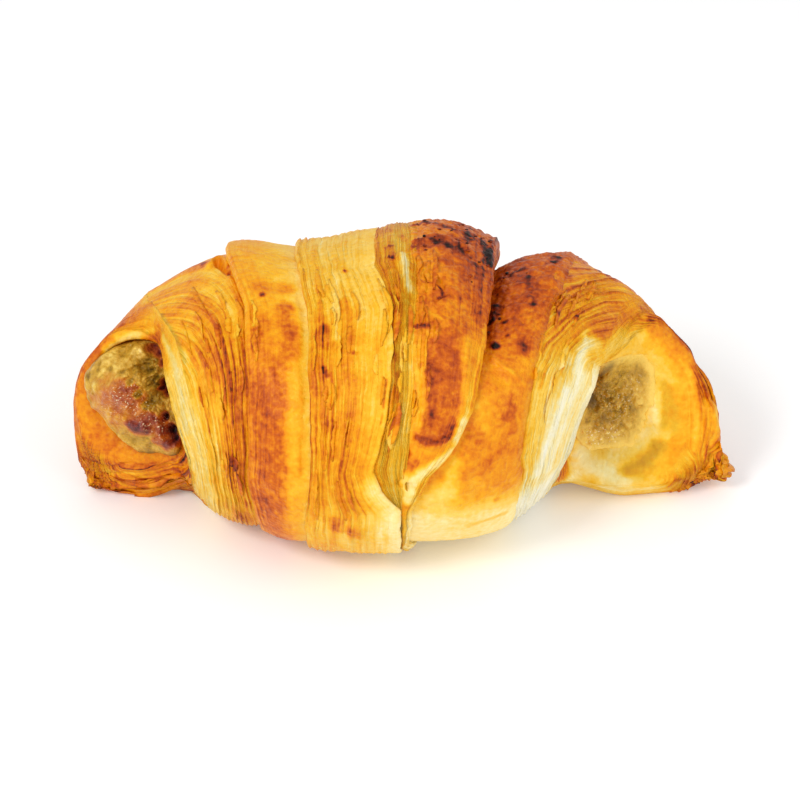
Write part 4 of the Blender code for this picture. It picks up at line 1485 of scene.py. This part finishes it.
@dataclass
class DoughPieces:
    """The dough's pieces: the left end with wrap A, the middle wraps, the crest wraps, and the right end."""

    dough: Dough = field(default_factory=Dough)
    finished: list[tuple[Skin, Array, Array]] = field(default_factory=list)  # points and browning

    def skins(self) -> dict[str, Skin]:
        """Lays out every piece of dough.

        Returns:
            Its rows, by the piece's name.
        """
        wraps = [self.dough.wrap_skin(index) for index in range(len(WRAPS))]
        left, right = self.dough.end_skin(LEFT_MOUTH).other_way(), self.dough.end_skin(RIGHT_MOUTH)
        left_end = Skin.joined([left, wraps[Zone.A]])
        right_end = Skin.joined([wraps[Zone.G], right])
        mouth, rim = len(left.points), len(wraps[Zone.G].points)
        self.ease(right_end, middle=rim + 18, half=50, span=(-110, -70, 10, 30), times=6)
        self.ease(right_end, middle=rim + 34, half=92, span=(-52, -26, 28, 46), times=16,
                  strides=(9, 5, 2, 1))
        self.ease(left_end, middle=mouth - 55, half=30, span=(-150, -110, -40, -15), times=6)
        return {
            "left_end": left_end,
            "middle_wraps": Skin.joined(wraps[Zone.B:Zone.E]),
            "crest_wraps": Skin.joined(wraps[Zone.E:Zone.G]),
            "right_end": right_end,
        }

    @staticmethod
    def ease(skin: Skin, middle: int, half: int, span: tuple[float, float, float, float], times: int,
             strides: tuple[int, ...] = (5, 2, 1)) -> None:
        """Rounds off a ridge in a skin.

        Args:
            skin: The rows, which are changed.
            middle: The row in the ridge's middle.
            half: How many rows it is rounded over, to each side.
            span: The angles between which it is rounded: from where it starts to where it has ended.
            times: How often the rows are drawn towards each other, for each stride.
            strides: How many rows apart they are.
        """
        angle = skin.angle[0]
        around = smoothstep(angle, span[0], span[1]) * (1 - smoothstep(angle, span[2], span[3]))
        rows = np.arange(len(skin.points))
        pull = 0.5 * (1 - smoothstep(np.abs(rows - middle), 0.5 * half, half))[:, None] * around
        for stride in strides:
            part = pull[stride:-stride, :, None]
            for values in (skin.points, skin.outward) * times:
                near = (values[:-2 * stride] + values[2 * stride:]) / 2
                values[stride:-stride] += part * (near - values[stride:-stride])
        skin.outward = unit(skin.outward)

    def build(self, finish: bpy.types.Material) -> list[bpy.types.Object]:
        """Builds and dresses the dough.

        Args:
            finish: The dough's material.

        Returns:
            Its pieces.
        """
        browning = Browning(self.dough)
        pieces = []
        for name, skin in self.skins().items():
            points, tone = self.dough.shaped(skin)
            level, green = browning.painted(skin, tone)
            coords = np.stack([skin.lamina, skin.angle * DEGREE_MM], -1)
            values = {"baked": level, "green": green, "layered": self.dough.layered(skin)}
            pieces.append(dressed(grid_object(name, points, coords, values, ends_open=True), finish))
            self.finished.append((skin, points, level))
        return pieces


class Bump(NamedTuple):
    """A bump or hollow of the filling, by its place along the croissant and up it as the viewer sees it."""

    x: float
    rise: float
    radius: float
    height: float
    shade: float  # from pale to dark green, darkest where a hollow has painted shade in it
    toast: float = 0.0  # how brown it is baked
    tall: float = 1.0  # its height over its width


LUMP_BUMPS = tuple(Bump(*row) for row in (
    (-64.1, 21.4, 8.3, 3.8, 0.36, 0.3), (-65.0, 22.3, 5.9, 1.0, 0.36, 0.34, 0.9),
    (-60.1, 21.9, 5.0, 1.2, 0.36, 0.46, 0.9), (-66.0, 24.6, 2.9, 0.8, 0.34, 0.3),
    (-66.4, 20.1, 2.7, 0.5, 0.34, 0.3, 1.1), (-63.2, 17.4, 2.7, 0.6, 0.36, 0.34, 0.8),
    (-68.7, 25.0, 1.4, 0.5, 0.3, 0.1, 1.4), (-67.8, 27.8, 1.4, 0.3, 0.3, 0.06, 0.8),
    (-60.8, 23.0, 4.1, 1.4, 0.36, 0.58, 0.9), (-62.3, 25.5, 1.8, 0.8, 0.36, 0.46, 0.8),
    (-60.1, 25.0, 1.8, 0.9, 0.4, 0.6, 0.9), (-61.4, 22.8, 1.8, 0.8, 0.4, 0.64),
    (-58.5, 21.7, 2.5, 0.9, 0.4, 0.6, 1.1), (-57.4, 19.6, 1.8, 0.6, 0.4, 0.44),
    (-60.3, 19.2, 1.8, 0.5, 0.4, 0.36, 0.8), (-65.0, 22.8, 1.6, 0.5, 0.36, 0.4, 0.9),
    (-59.4, 18.1, 1.4, 0.5, 0.4, 0.5, 0.8), (-55.6, 17.4, 2.3, 1.3, 0.45, 0.66),
    (-54.0, 15.1, 2.0, 1.2, 0.45, 0.7), (-58.3, 15.8, 2.7, 1.9, 0.5, 0.92, 0.8),
    (-59.6, 16.0, 1.8, 0.6, 0.5, 0.92, 0.9), (-56.9, 15.3, 1.6, 0.6, 0.5, 0.86, 0.9),
    (-54.9, 12.6, 1.8, 1.4, 0.45, 0.66, 0.8), (-52.9, 11.7, 2.0, 1.9, 0.45, 0.72, 0.9),
    (-50.8, 12.6, 1.6, 1.5, 0.45, 0.7), (-71.6, 26.4, 1.6, 0.7, 0.33, 0.0, 1.5),
    (-69.8, 29.6, 1.8, 0.7, 0.35, 0.0, 0.8), (-67.1, 30.9, 1.8, 0.6, 0.31, 0.0, 0.7),
    (-63.9, 31.1, 1.8, 0.6, 0.33, 0.0, 0.7), (-61.2, 30.0, 1.6, 0.7, 0.32, 0.0, 0.9),
    (-71.1, 20.5, 1.4, 0.5, 0.34, 0.0, 1.6), (-69.3, 16.5, 1.4, 0.5, 0.34, 0.0, 1.3),
    (-66.6, 13.3, 1.4, 0.5, 0.34), (-62.8, 11.1, 1.4, 0.5, 0.32, 0.0, 0.7),
    (-59.4, 9.7, 1.4, 0.4, 0.33, 0.0, 0.6), (-56.7, 9.0, 1.1, 0.3, 0.33, 0.0, 0.6),
    # narrow hollows of a darker green: painted shade along the crease between its top and its dome
    (-68.2, 28.4, 0.9, -0.6, 0.5, 0.0, 0.7), (-65.3, 28.9, 0.9, -0.6, 0.5, 0.0, 0.7),
    (-62.3, 28.0, 0.9, -0.7, 0.52, 0.0, 0.8), (-59.9, 26.0, 0.9, -0.7, 0.54, 0.0, 1.2),
    (-57.8, 23.5, 0.9, -0.7, 0.54, 0.0, 1.3), (-56.3, 20.8, 0.9, -0.6, 0.52, 0.0, 1.3),
    (-57.2, 29.1, 2.7, -2.6, 0.52), (-55.8, 26.4, 2.3, -1.8, 0.54, 0.0, 1.2),
    (-55.1, 21.9, 1.6, -0.8, 0.48, 0.0, 1.4), (-58.5, 27.8, 0.9, 1.2, 0.4), (-56.3, 29.6, 0.9, 1.3, 0.42),
    (-57.6, 26.0, 0.9, 1.1, 0.38, 0.0, 0.9), (-54.7, 28.0, 0.9, 1.2, 0.44), (-55.8, 24.1, 0.9, 1.1, 0.38),
    (-54.4, 20.5, 0.9, 1.0, 0.36), (-53.5, 29.1, 0.7, 1.2, 0.34), (-59.4, 29.6, 0.9, 1.0, 0.36),
    # deep hollows painted dark brown to near black: the shadow in the gaps between the lump and the dough's
    # rim, painted on
    (-56.9, 33.4, 1.8, -3.6, 0.8, 0.76, 0.7), (-55.1, 32.3, 1.6, -3.6, 0.8, 0.8, 0.8),
    (-54.0, 30.2, 1.1, -3.0, 0.8, 0.74, 1.2), (-53.3, 25.7, 1.1, -5.5, 1.0, 1.0),
    (-52.4, 23.9, 1.4, -6.5, 1.0, 1.0, 1.2), (-54.0, 24.4, 0.7, -2.0, 0.9, 0.9),
    (-53.1, 18.1, 0.9, -4.0, 0.9, 0.92, 1.6), (-52.0, 15.1, 1.1, -5.0, 1.0, 0.96, 1.8),
    (-51.3, 12.9, 0.9, -4.0, 1.0, 0.92, 1.2),
))
POOL_BUMPS = tuple(Bump(*row) for row in (
    # the first hollows are a darker olive: the cream's own colour, with the shade in the cavity under the rim
    # painted on
    (47.7, 21.9, 6.6, 0.2, 0.36, 0.0, 1.4), (42.2, 21.9, 2.1, -0.7, 0.66, 0.0, 1.5),
    (44.3, 25.1, 2.1, -0.3, 0.46, 0.0, 1.2), (45.9, 30.1, 1.4, -0.9, 0.7, 0.0, 1.2),
    (44.5, 27.8, 1.4, -0.5, 0.6, 0.0, 1.2), (50.7, 27.4, 1.8, -0.3, 0.36), (45.9, 21.9, 2.1, -0.2, 0.44),
    (47.5, 18.7, 2.3, -0.2, 0.42), (44.5, 16.9, 2.1, -0.2, 0.42, 0.0, 0.9),
    (52.7, 30.1, 1.6, -0.2, 0.34, 0.0, 0.9), (54.1, 26.5, 1.4, -0.2, 0.38, 0.0, 1.4),
    (49.5, 24.2, 1.8, 0.5, 0.3), (52.3, 24.6, 1.4, 0.4, 0.28), (48.6, 27.2, 1.1, 0.5, 0.38),
    (45.4, 26.7, 1.1, 0.5, 0.32), (52.9, 21.4, 1.8, 0.3, 0.24), (50.4, 20.8, 1.4, 0.3, 0.36),
    (46.3, 23.7, 1.1, 0.4, 0.4), (43.6, 22.4, 0.9, 0.5, 0.42), (41.3, 17.3, 1.1, 0.4, 0.4),
    (50.9, 16.0, 1.8, 0.2, 0.26), (43.6, 13.2, 2.7, 0.2, 0.2, 0.0, 0.7),
    (47.7, 13.7, 2.3, 0.2, 0.2, 0.0, 0.7), (40.4, 14.6, 0.6, 0.7, 0.14), (41.8, 13.4, 0.6, 0.7, 0.14),
    (43.1, 14.8, 0.5, 0.7, 0.16), (44.3, 13.2, 0.6, 0.8, 0.12), (45.6, 14.6, 0.5, 0.7, 0.16),
    (46.8, 13.0, 0.6, 0.7, 0.12), (48.2, 14.4, 0.5, 0.7, 0.16), (42.2, 11.8, 0.5, 0.6, 0.12),
    (45.0, 11.6, 0.5, 0.6, 0.12), (47.2, 16.0, 0.5, 0.6, 0.24), (49.3, 15.0, 0.5, 0.6, 0.18),
    (43.8, 16.2, 0.5, 0.6, 0.28), (45.4, 20.5, 0.5, 0.7, 0.3), (46.8, 21.7, 0.5, 0.7, 0.3),
    (47.9, 20.3, 0.5, 0.8, 0.28), (49.1, 22.1, 0.5, 0.6, 0.3), (44.0, 19.8, 0.5, 0.6, 0.32),
    (47.2, 18.5, 0.5, 0.7, 0.28), (45.9, 23.0, 0.5, 0.6, 0.32), (50.0, 18.9, 0.5, 0.6, 0.28),
))
VIEW_UP = np.array([0, math.sin(math.radians(ELEVATION)), math.cos(math.radians(ELEVATION))])


@dataclass(frozen=True)
class Spill:
    """The filling at a mouth: how far it spreads over the dough there, and how it stands out."""

    mouth: Mouth
    edge: tuple[tuple[float, float], ...]  # the share of the mouth's dough where it ends, at angles round it
    fill: float  # 0 lines the hollow, and 1 spans it
    bulge: float
    thick: float
    rugged: float  # how uneven it is
    crumbs: tuple[float, float, float, float]  # where it is crumbly: x, rise, how far round, least elsewhere
    shade: float
    faded: float  # how far in from its edge it takes the dough's golden colour
    moist: tuple[tuple[float, float, float, float], ...]  # where it is glossy and has glints painted on it: x, rise, how far, how much
    bumps: tuple[Bump, ...]
    rows: int


LUMP = Spill(
    mouth=LEFT_MOUTH,
    edge=((-170, 0.76), (-150, 0.77), (-130, 0.77), (-115, 0.77), (-100, 0.75), (-85, 0.71), (-70, 0.7),
          (-55, 0.74), (-40, 0.82), (-20, 0.85), (10, 0.84), (60, 0.8), (100, 0.76), (130, 0.68),
          (150, 0.68), (170, 0.72)),
    fill=1.0, bulge=5.5, thick=2.4, rugged=1.1, crumbs=(-57.0, 27.0, 9.0, 0.45), shade=0.32, faded=0.0,
    moist=((-60.4, 22.8, 3.6, 1.0), (-57.6, 20.4, 3.0, 0.9), (-64.0, 20.4, 4.2, 0.45),
           (-54.8, 16.8, 2.6, 1.0), (-54.0, 13.4, 2.0, 0.6)),
    bumps=LUMP_BUMPS, rows=110,
)
POOL = Spill(
    mouth=RIGHT_MOUTH,
    edge=((-170, 0.9), (-150, 0.92), (-115, 0.92), (-85, 0.9), (-70, 0.87), (-55, 0.84), (-40, 0.81),
          (-25, 0.79), (-10, 0.75), (5, 0.7), (20, 0.68), (40, 0.74), (60, 0.8), (100, 0.8), (130, 0.86),
          (160, 0.89)),
    fill=0.25, bulge=0.2, thick=0.6, rugged=0.25, crumbs=(46.5, 22.5, 7.0, 0.1), shade=0.28, faded=0.42,
    moist=((43.5, 13.6, 3.4, 1.0), (47.0, 14.0, 2.6, 0.9), (48.0, 21.0, 4.0, 0.7), (51.5, 25.0, 2.6, 0.5)),
    bumps=POOL_BUMPS, rows=96,
)


@dataclass
class PistachioCream:
    """The filling, from the lump in the left mouth to the pool in the right one."""

    dough: DoughPieces
    step: int = 2  # it has every second column of the dough
    sunk: float = 0.35  # how far its lining lies under the dough's first skin
    heart: float = 0.15  # the size within which its lining draws together
    lumps: Grain = field(default_factory=lambda: Grain(31))
    grit: Grain = field(default_factory=lambda: Grain(32))

    def lining(self, spill: Spill, size: Array) -> Array:
        """Rows on the dough under the filling.

        Args:
            spill: The filling at a mouth.
            size: Which rows, from 1 at the filling's edge to 0 in the hollow's middle.

        Returns:
            The rows.
        """
        zone = spill.mouth.zone
        skin, dough = next(found[:2] for found in self.dough.finished if (found[0].wrap == zone).any())
        rows = np.nonzero(skin.wrap[:, 0] == zone)[0][::spill.mouth.side]
        points = (dough - self.sunk * skin.outward)[rows, ::self.step]
        angle = skin.angle[0, ::self.step]
        edge = np.interp(angle, *zip(*spill.edge), period=360)
        edge = edge + 0.02 * self.lumps.space(points[len(points) // 2], 4.0)
        share = 1 + (edge - 1) * np.clip((size - self.heart) / 0.85, 0, 1)[:, None]
        place = share * (len(points) - 1)
        before = np.floor(place).astype(int).clip(0, len(points) - 2)
        part = (place - before)[..., None]
        columns = np.arange(len(angle))
        rows = points[before, columns] * (1 - part) + points[before + 1, columns] * part
        heart = points[-1, :-1].mean(0)
        return heart + (rows - heart) * np.clip(size / self.heart, 0, 1)[:, None, None]

    def face(self, spill: Spill) -> tuple[Array, dict[str, Array]]:
        """The free face of the filling at a mouth.

        Args:
            spill: The filling there.

        Returns:
            The rows from its edge to its middle, and their shade (with painted shade in its pits and along
            its edge), toast, rim, and gloss with painted glints.
        """
        size = np.linspace(1, 0, spill.rows + 1)
        under = self.lining(spill, size)
        edge = under[0]
        centre = edge[:-1].mean(0)
        way = towards_viewer(edge, centre)
        size = size[:, None]
        flat = centre + (edge - centre) * size[..., None]
        base = under * (1 - spill.fill) + flat * spill.fill
        x, rise = base[..., 0], base @ VIEW_UP
        near = np.exp(-(((x - spill.crumbs[0]) ** 2 + (rise - spill.crumbs[1]) ** 2) / spill.crumbs[2] ** 2))
        crumb = 1.3 * np.abs(self.grit.space(base, 2.4)) + 0.9 * np.abs(self.lumps.space(base, 1.1)) - 0.35
        crumb = crumb * (spill.crumbs[3] + (1 - spill.crumbs[3]) * near)
        height = 1.2 * crumb + 0.3 * self.lumps.space(base, 6) + spill.bulge * (1 - size**2)
        detail = 0.7 * self.lumps.space(base, 2.8) + 0.35 * self.grit.space(base, 1.2)
        height = height + spill.rugged * detail
        detail = detail + 0.9 * crumb
        shade = spill.shade + 0.08 * self.lumps.space(base, 5.0)
        toast = np.zeros(x.shape)
        for bump in spill.bumps:
            away = np.hypot(x - bump.x, (rise - bump.rise) / bump.tall) / bump.radius
            ragged = away + 0.16 * self.grit.space(base, 2.0)
            height = height + bump.height * np.exp(-(ragged**2) * 1.5)
            cover = 1 - smoothstep(ragged, 0.25, 1.35)
            shade = shade + (bump.shade + 0.08 * self.lumps.space(base, 1.3) - shade) * cover
            toast = toast + (bump.toast - toast) * cover
        round_edge = np.sqrt(1 - (1 - np.clip((1 - size) / 0.09, 0, 1)) ** 2)
        outline = 1 - smoothstep(1 - size, 0.0, 0.05)
        # painted shade: shade and toast darker in its pits and paler on its peaks, and a painted shadow along
        # its outline where it meets the dough
        shade = shade - 0.15 * spill.rugged * detail + 0.2 * outline * spill.fill
        toast = toast - 0.14 * detail * (toast > 0.05) * spill.rugged
        height = np.maximum(height + spill.thick, 0.55) * round_edge
        points = base + way * height[..., None]
        points[-1] = points[-1, :-1].mean(0)
        inwards = 1 - size + 0.12 * self.lumps.space(base, 4.0) + 0.05 * self.grit.space(base, 1.6)
        rim = 1 - smoothstep(inwards, 0.0, spill.faded) if spill.faded else 0 * inwards
        moist = np.zeros(x.shape)
        for place in spill.moist:
            gone = np.hypot(x - place[0], rise - place[1]) / place[2] + 0.3 * self.grit.space(base, 2.0)
            moist = np.maximum(moist, place[3] * (1 - smoothstep(gone, 0.4, 1.4)))
        return points, {"shade": shade, "toast": toast, "rim": rim, "moist": moist}

    def build(self, finish: bpy.types.Material) -> bpy.types.Object:
        """Builds and dresses the filling.

        Args:
            finish: Its material.

        Returns:
            The piece.
        """
        under = np.linspace(0.97, self.heart, 20)
        angles = self.dough.dough.angles[::self.step]
        tube = CREAM.at(*np.meshgrid(np.linspace(4.4, 7.6, 30), angles, indexing="ij"))[0]
        lump, lump_looks = self.face(LUMP)
        pool, pool_looks = self.face(POOL)
        hidden = np.concatenate([self.lining(LUMP, under), tube, self.lining(POOL, under)[::-1]])
        points = np.concatenate([lump[::-1], hidden, pool])
        looks = {}
        for name, value in lump_looks.items():
            looks[name] = np.concatenate([value[::-1], np.full(hidden.shape[:2], 0.3), pool_looks[name]])
        return dressed(grid_object("pistachio_cream", points, points[..., :2], looks), finish)


class Bed(NamedTuple):
    """Where flakes or crumbs lie: shares across a zone and angles round it, and how many there are."""

    zone: Zone
    shares: tuple[float, float]
    angles: tuple[float, float]
    count: int


@dataclass
class LooseBits:
    """Thin flakes of the layers that have lifted off, and small burnt crumbs."""

    dough: DoughPieces
    seed: int = 7
    count: int = 9  # points along a flake
    thick: float = 0.14  # of a flake
    lowest: float = 0.02  # how far above the table the bits stay
    flakes: tuple[Bed, ...] = (
        Bed(Zone.A, (0.15, 1.0), (5, 95), 26), Bed(Zone.B, (0.0, 0.12), (15, 45), 6),
        Bed(Zone.C, (0.0, 0.55), (-5, 100), 26), Bed(Zone.C, (0.85, 1.0), (10, 60), 6),
        Bed(Zone.D, (0.1, 0.95), (-5, 70), 14), Bed(Zone.E, (0.0, 0.3), (0, 60), 14),
        Bed(Zone.G, (0.0, 0.5), (-10, 60), 18), Bed(Zone.LEFT, (0.15, 0.5), (150, 178), 8),
        Bed(Zone.LEFT, (0.15, 0.5), (-178, -140), 12), Bed(Zone.RIGHT, (0.1, 0.45), (-140, -60), 18),
        Bed(Zone.RIGHT, (0.12, 0.4), (-130, -104), 14),
    )
    crumbs: tuple[Bed, ...] = (
        Bed(Zone.E, (0.05, 1.0), (-12, -2), 16), Bed(Zone.E, (0.1, 1.0), (-34, -14), 14),
        Bed(Zone.E, (0.6, 1.0), (-10, 10), 5), Bed(Zone.F, (0.2, 0.6), (-18, -10), 5),
        Bed(Zone.F, (0.05, 0.4), (8, 32), 6), Bed(Zone.RIGHT, (0.24, 0.26), (-48, -47), 1),
        Bed(Zone.RIGHT, (0.15, 0.3), (-150, -140), 4),
    )

    def spots(self, beds: tuple[Bed, ...], rng: np.random.Generator) -> list[tuple]:
        """Draws places in beds.

        Args:
            beds: The beds.
            rng: The source of the places.

        Returns:
            The places, each as (skin, points, level, row, column).
        """
        found = []
        for bed in beds:
            for skin, points, level in self.dough.finished:
                rows = np.nonzero(skin.wrap[:, 0] == bed.zone)[0]
                if not len(rows):
                    continue
                shares = skin.share[rows, 0]
                for _ in range(bed.count):
                    share, angle = rng.uniform(*bed.shares), rng.uniform(*bed.angles)
                    row = int(rows[np.abs(shares - share).argmin()])
                    column = int(np.abs(skin.angle[0] - angle).argmin())
                    found.append((skin, points, level, min(max(row, 2), len(points) - 3), column))
        return found

    def flake(self, spot: tuple, rng: np.random.Generator) -> bpy.types.Object:
        """One thin flake, lifted along one side.

        Args:
            spot: Where it lies.
            rng: The source of its size and lift.

        Returns:
            The flake.
        """
        skin, points, level, row, column = spot
        long, wide, lift = rng.uniform(5, 16), rng.uniform(0.5, 1.5), rng.uniform(0.15, 0.7)
        columns = (column + np.linspace(-long, long, self.count).astype(int)).clip(0, points.shape[1] - 1)
        base, out = points[row, columns], skin.outward[row, columns]
        side = points[row + 2, columns] - points[row - 2, columns]
        side = unit(side) * rng.choice((-1, 1))
        taper = np.sin(np.linspace(0.25, math.pi - 0.25, self.count))[:, None] ** 0.6
        wide_here = wide * taper * rng.uniform(0.75, 1.25, (self.count, 1))
        under = ((0, -0.2), (0.5, lift * 0.35 - 0.05), (1, lift))
        section = (*under, (1, lift + self.thick), (0.5, lift * 0.4 + self.thick), (0, self.thick))
        ring = [base + side * wide_here * across_it + out * (rise * taper) for across_it, rise in section]
        rows = np.stack(ring + ring[:1], 1)
        rows[..., 2] = np.maximum(rows[..., 2], self.lowest)
        brown = np.repeat(level[row, columns][:, None], rows.shape[1], 1) + rng.uniform(-0.06, 0.1)
        along, over = np.arange(rows.shape[1]) * 0.2, np.arange(self.count)[:, None] * 0.5
        spread = (rng.uniform(0, 90) + along, over)
        coords = np.stack([np.broadcast_to(value, rows.shape[:2]) for value in spread], -1)
        values = {"baked": np.clip(brown, 0.05, 1), "green": 0 * brown, "layered": 0 * brown + 0.4}
        return grid_object("flake", rows, coords, values, ends_open=True)

    def crumb(self, spot: tuple, rng: np.random.Generator) -> bpy.types.Object:
        """One burnt crumb.

        Args:
            spot: Where it lies.
            rng: The source of its size and shape.

        Returns:
            The crumb.
        """
        skin, points, _, row, column = spot
        bpy.ops.object.select_all(action="DESELECT")
        bpy.ops.mesh.primitive_ico_sphere_add(subdivisions=2, radius=1)
        thing = bpy.context.object
        mesh = thing.data
        shape = vertex_places(mesh).astype(float)
        shape = shape * (1 + 0.25 * self.dough.dough.leaf.space(shape + rng.uniform(0, 50), 0.8)[:, None])
        shape = shape * rng.uniform(0.6, 1.3, 3) * rng.uniform(0.22, 0.6)
        out = skin.outward[row, column]
        shape = shape - 0.45 * out * (shape @ out)[:, None]
        placed = points[row, column] + shape
        placed[:, 2] = np.maximum(placed[:, 2], self.lowest)
        mesh.vertices.foreach_set("co", (placed * MM).astype(np.float32).ravel())
        for name, value in (("baked", rng.uniform(0.8, 0.95)), ("green", 0.0), ("layered", 0.0)):
            store(mesh, name, np.full(len(mesh.vertices), value))
        bpy.ops.object.shade_smooth()
        return thing

    def build(self, finish: bpy.types.Material) -> list[bpy.types.Object]:
        """Builds and dresses the flakes and the crumbs.

        Args:
            finish: The dough's material.

        Returns:
            The two pieces.
        """
        rng = np.random.default_rng(self.seed)
        pieces = []
        kinds = (("lifted_flakes", self.flakes, self.flake), ("burnt_crumbs", self.crumbs, self.crumb))
        for name, beds, make in kinds:
            bits = [make(spot, rng) for spot in self.spots(beds, rng)]
            bpy.ops.object.select_all(action="DESELECT")
            for bit in bits:
                bit.select_set(True)
            bpy.context.view_layer.objects.active = bits[0]
            bpy.ops.object.join()
            piece = bits[0]
            piece.location = (0, 0, 0)
            piece.name = piece.data.name = name
            piece.data.materials.clear()
            pieces.append(dressed(piece, finish))
        return pieces


class Lamp(NamedTuple):
    """A soft square light, in metres and watts."""

    name: str
    place: Triple
    size: float
    power: float


@dataclass(frozen=True)
class Studio:
    """The pale floor, the soft lights and the camera."""

    target: Triple = (-1.2048, -0.6648, 26.985)
    distance: float = 700.0
    lens: float = 139.26
    sensor: float = 36.0
    floor_size: float = 6.0  # in metres, as the lamps' aim
    surround: float = 0.72  # the strength of the light from all round
    aim: Triple = (0, 0, 0.03)
    lamps: tuple[Lamp, ...] = (
        Lamp("key", (-0.38, -0.42, 0.6), 0.25, 2.6), Lamp("fill", (0.5, -0.35, 0.5), 0.5, 1.2),
    )

    def build(self) -> None:
        """Sets up the floor, the lights and the camera."""
        self.floor()
        self.lights()
        self.camera()

    def floor(self) -> None:
        """A plain pale floor."""
        bpy.ops.object.select_all(action="DESELECT")
        bpy.ops.mesh.primitive_plane_add(size=self.floor_size)
        floor = bpy.context.object
        floor.name = "floor"
        floor.data.materials.append(Bench("pale_floor").finished({
            "Base Color": (0.93, 0.93, 0.93, 1), "Roughness": 0.9, "Specular IOR Level": 0.1,
            "Emission Color": (1, 1, 1, 1), "Emission Strength": 0.12,
        }))

    def lights(self) -> None:
        """A bright soft surround, a large light above on the left and a fill at the front."""
        world = bpy.data.worlds.new("surround")
        bpy.context.scene.world = world
        world.use_nodes = True
        back = world.node_tree.nodes["Background"]
        back.inputs["Color"].default_value = (1, 1, 1, 1)
        back.inputs["Strength"].default_value = self.surround
        for lamp in self.lamps:
            data = bpy.data.lights.new(lamp.name, "AREA")
            data.size = lamp.size
            data.energy = lamp.power
            thing = bpy.data.objects.new(lamp.name, data)
            bpy.context.scene.collection.objects.link(thing)
            thing.location = lamp.place
            way = np.array(self.aim) - np.array(lamp.place)
            flat = math.hypot(way[0], way[1])
            thing.rotation_euler = (math.atan2(flat, -way[2]), 0, math.atan2(way[1], way[0]) - math.pi / 2)

    def camera(self) -> None:
        """The camera, at the photograph's angle."""
        data = bpy.data.cameras.new("camera")
        data.lens = self.lens
        data.sensor_width = self.sensor
        data.clip_start = 0.01
        thing = bpy.data.objects.new("camera", data)
        bpy.context.scene.collection.objects.link(thing)
        tilt = math.radians(ELEVATION)
        look = np.array([0, math.cos(tilt), -math.sin(tilt)])
        thing.location = (np.array(self.target) - look * self.distance) * MM
        thing.rotation_euler = (math.pi / 2 - tilt, 0, 0)
        bpy.context.scene.camera = thing
        bpy.context.scene.view_settings.view_transform = "Standard"


def main() -> None:
    """Builds the croissant and its surroundings, and says what each piece is."""
    logging.basicConfig(level=logging.INFO, format="%(message)s")
    crust, cream = Crust().made(), NutCream().made()
    dough = DoughPieces()
    for piece in dough.build(crust):
        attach(piece, "root")
        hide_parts("dough")
    for piece in LooseBits(dough).build(crust):
        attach(piece, "root")
    filling = PistachioCream(dough).build(cream)
    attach(filling, "root")
    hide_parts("filling")
    Studio().build()


if __name__ == "__main__":
    main()
